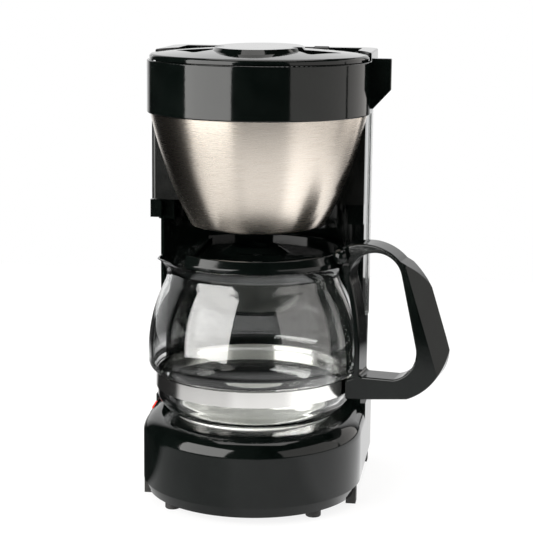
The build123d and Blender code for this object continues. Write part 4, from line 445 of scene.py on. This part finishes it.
lit_red, tree, shader = start_finish("lit_red", IOR=1.49, Emission_Strength=0.6)
cloud = mottle(tree, 300.0)
red = tint(tree, cloud.outputs["Fac"], (0.72, 0.020, 0.012), (0.85, 0.045, 0.020))
tree.links.new(red, shader.inputs["Base Color"])
tree.links.new(red, shader.inputs["Emission Color"])
tree.links.new(between(tree, cloud.outputs["Fac"], 0.12, 0.25), shader.inputs["Roughness"])

woven_mesh, tree, shader = start_finish("woven_mesh", IOR=1.5)
where = place(tree, "ShaderNodeTexCoord")
weave = place(
    tree,
    "ShaderNodeTexBrick",
    {"Vector": where.outputs["Object"], "Scale": 700.0, "Mortar Size": 0.03},
)
paint(tree, shader, weave.outputs["Fac"], (0.50, 0.45, 0.32), (0.16, 0.14, 0.10), 0.5, 0.7)
roughen(tree, shader, weave.outputs["Fac"], 0.4, 0.0003)
print("small finishes ready")

# %% [markdown]
# ## Dressing the solids
# Every solid takes the finish its real piece has. Finishes could be given one by one in the editor.
# A table of names keeps them in one place, and what it leaves out is printed: the two solids that get
# a mesh of their own further on.

# %% Finishes on the solids
dressing = {
    "base_housing": gloss_black,
    "bottom_cover": gloss_black,
    "tower_housing": gloss_black,
    "tank_collar": gloss_black,
    "lid": gloss_black,
    "basket_band": gloss_black,
    "pull_tab": gloss_black,
    "carafe_handle": gloss_black,
    "carafe_lid": gloss_black,
    "carafe_lid_pin": gloss_black,
    "basket_holder": satin_black,
    "filter_frame": satin_black,
    "valve_cage": satin_black,
    "shower_arm": satin_black,
    "switch_bezel": satin_black,
    "switch_body": satin_black,
    "steel_cone": brushed_steel,
    "carafe_band": bright_strip,
    "tank_window": clear_strip,
    "switch_rocker": lit_red,
    "front_feet": foot_rubber,
    "post_feet": foot_rubber,
    "cord_gland": foot_rubber,
    "plate_seal": grey_seal,
    "valve_gasket": grey_seal,
    "cold_hose_lower": milky_silicone,
    "cold_hose_upper": milky_silicone,
    "hot_hose": milky_silicone,
    "warming_plate": plate_painted_reflection,
    "heating_element": casting,
    "cover_screws": zinc,
    "tower_screws": zinc,
    "clamp_screw": zinc,
    "heater_clamp": zinc,
    "thermostat": zinc,
    "lid_pins": zinc,
    "basket_pins": zinc,
    "band_screw": zinc,
    "check_valve": white_moulding,
    "check_ball": white_moulding,
    "riser_tube": white_moulding,
    "valve_plunger": white_moulding,
    "thermal_fuse": white_moulding,
    "filter_mesh": woven_mesh,
}
for name, finish in dressing.items():
    solid = nodes[name].data
    solid.materials.clear()
    solid.materials.append(finish)
print("dressed:", len(dressing), "bare:", sorted(set(nodes) - set(dressing)))

# %% [markdown]
# ## The carafe's glass
# Glass is blown in a mould and its pouring lip is pulled out by hand while it is soft. A solid cone set
# on the rim would show a crease there, so the glass is turned again here as a mesh: the same half
# section, swept round, with the rim drawn out smoothly on one side. Wall and floor keep their
# thickness, so light bends right.

# %% Half section of the glass
plate_low, plate_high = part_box("warming_plate")
glass_low, glass_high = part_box("carafe_glass")
carafe_axis = ((plate_low[0] + plate_high[0]) / 2, (plate_low[1] + plate_high[1]) / 2)
rim_height = (glass_high[2] - glass_low[2]) * 1000
wall = 2.4
foot_radius, heel_radius, belly_radius = 43.0, 58.9, 64.4
chest_radius, neck_radius, rim_radius = 54.2, 52.6, 55.6
heel_height, waist_height, belly_height = 11.0, 26.5, 34.0
chest_drop, neck_drop = 13.7, 7.5
waist_bend_radius, waist_bend_height = 63.0, 28.7
belly_bend_radius, belly_bend_height = 63.2, 54.0
foot_bend_radius, foot_bend_height, foot_bend_share = 52.7, 3.0, 0.6
floor_rings = (0.01, 15, 30)


def arc_through(start, middle, end, count):
    """Points on the circle through three points, from the first one up to just before the last."""
    (ax, ay), (bx, by), (cx, cy) = start, middle, end
    d = 2 * (ax * (by - cy) + bx * (cy - ay) + cx * (ay - by))
    a, b, c = ax * ax + ay * ay, bx * bx + by * by, cx * cx + cy * cy
    x = (a * (by - cy) + b * (cy - ay) + c * (ay - by)) / d
    y = (a * (cx - bx) + b * (ax - cx) + c * (bx - ax)) / d
    radius = ((ax - x) ** 2 + (ay - y) ** 2) ** 0.5
    first, mid, last = (atan2(py - y, px - x) for px, py in (start, middle, end))
    sweep = (last - first) % (2 * pi)
    if (mid - first) % (2 * pi) > sweep:
        sweep -= 2 * pi
    turns = [first + sweep * step / count for step in range(count)]
    return [(x + radius * cos(t), y + radius * sin(t)) for t in turns]


def half_section(inset):
    """Radius and height in mm from the middle of the floor up to the rim, set in by the wall."""
    heel, waist = (heel_radius - inset, heel_height + inset), (heel_radius - inset, waist_height)
    belly = (belly_radius - inset, belly_height)
    chest = (chest_radius - inset, rim_height - chest_drop)
    neck, rim = (neck_radius - inset, rim_height - neck_drop), (rim_radius - inset, rim_height)
    foot_bend = (foot_bend_radius - inset * foot_bend_share, foot_bend_height + inset)
    waist_bend = (waist_bend_radius - inset, waist_bend_height)
    belly_bend = (belly_bend_radius - inset, belly_bend_height)
    points = [(radius, inset) for radius in floor_rings]
    points += arc_through((foot_radius, inset), foot_bend, heel, 10)
    points += [(heel[0], heel[1] + (waist[1] - heel[1]) * step / 4) for step in range(4)]
    points += arc_through(waist, waist_bend, belly, 8)
    points += arc_through(belly, belly_bend, chest, 24)
    points += arc_through(chest, neck, rim, 14)
    return points


lip_round = [(0.0, -0.5), (0.4, -0.1), (wall / 2, 0.0), (wall - 0.4, -0.1), (wall, -0.5)]
lip = [(rim_radius - inward, rim_height + rise) for inward, rise in lip_round]
section = half_section(0) + lip + half_section(wall)[::-1]
print("points in the section:", len(section))

# %% Swept glass with its pulled lip
steps = 160
soft_zone = 18
lip_pull, lip_drop, lip_pinch = 4.6, 1.3, 0.9
lip_spread, pinch_turn, pinch_spread = 0.27, 0.55, 0.2


def glass_point(radius, height, turn):
    """A point of the section turned round the axis, drawn out towards the left near the rim."""
    soft = min(max((height - rim_height + soft_zone) / soft_zone, 0), 1) ** 2
    off = abs(turn - pi)
    pulled = exp(-((off / lip_spread) ** 2))
    pinched = exp(-(((off - pinch_turn) / pinch_spread) ** 2))
    out = radius + soft * (lip_pull * pulled - lip_pinch * pinched)
    rise = height - soft * lip_drop * pulled
    return (
        carafe_axis[0] + out * cos(turn) / 1000,
        carafe_axis[1] + out * sin(turn) / 1000,
        glass_low[2] + rise / 1000,
    )


def skin(rings, count):
    """Faces between rings of points, one ring after the other, and a flat face at both ends."""
    quads = []
    for ring in range(rings - 1):
        for step in range(count):
            here, beside = ring * count + step, ring * count + (step + 1) % count
            quads.append((here, beside, beside + count, here + count))
    last = (rings - 1) * count
    return quads + [tuple(range(count))[::-1], tuple(range(last, last + count))]


points = [glass_point(r, h, 2 * pi * step / steps) for r, h in section for step in range(steps)]
faces = skin(len(section), steps)
glass_mesh = bpy.data.meshes.new("blown_glass")
glass_mesh.from_pydata(points, [], faces)
glass_mesh.shade_smooth()
glass_mesh.materials.append(clear_glass)
blown_glass = bpy.data.objects.new("blown_glass", glass_mesh)
bpy.context.collection.objects.link(blown_glass)
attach(blown_glass, "carafe")
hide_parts("carafe_glass")
print("glass faces:", len(faces))

# %% [markdown]
# ## The spring of the drip stop
# A small coil spring presses the drip stop shut. A plain tube would do where nobody looks, but a coil
# is quickly wound: one round wire along a screw line. The spring gets shorter when the carafe lifts the
# valve.

# %% Wire of the spring
spring_low, spring_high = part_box("valve_spring")
spring_axis = Vector(((spring_low[0] + spring_high[0]) / 2, (spring_low[1] + spring_high[1]) / 2, 0))
spring_length = spring_high[2] - spring_low[2]
wire, windings, wire_sides, wire_steps = 0.0004, 5, 10, 180
coil_radius = (spring_high[0] - spring_low[0]) / 2 - wire
climb = spring_length - 2 * wire
points = []
for step in range(wire_steps + 1):
    turn = 2 * pi * windings * step / wire_steps
    outward = Vector((cos(turn), sin(turn), 0))
    along = Vector((-sin(turn), cos(turn), climb / (2 * pi * windings * coil_radius))).normalized()
    across = along.cross(outward)
    centre = spring_axis + outward * coil_radius
    centre.z = spring_low[2] + wire + climb * step / wire_steps
    for side in range(wire_sides):
        lean = 2 * pi * side / wire_sides
        points.append(centre + (outward * cos(lean) + across * sin(lean)) * wire)
print("spring in mm:", round(spring_length * 1000, 1), "long, windings:", windings)

# %% Coil spring
faces = skin(wire_steps + 1, wire_sides)
coil_mesh = bpy.data.meshes.new("coil_spring")
coil_mesh.from_pydata(points, [], faces)
coil_mesh.shade_smooth()
coil_mesh.materials.append(zinc)
coil_spring = bpy.data.objects.new("coil_spring", coil_mesh)
bpy.context.collection.objects.link(coil_spring)
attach(coil_spring, "basket")
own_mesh(coil_spring)
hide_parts("valve_spring")
print("spring faces:", len(faces))
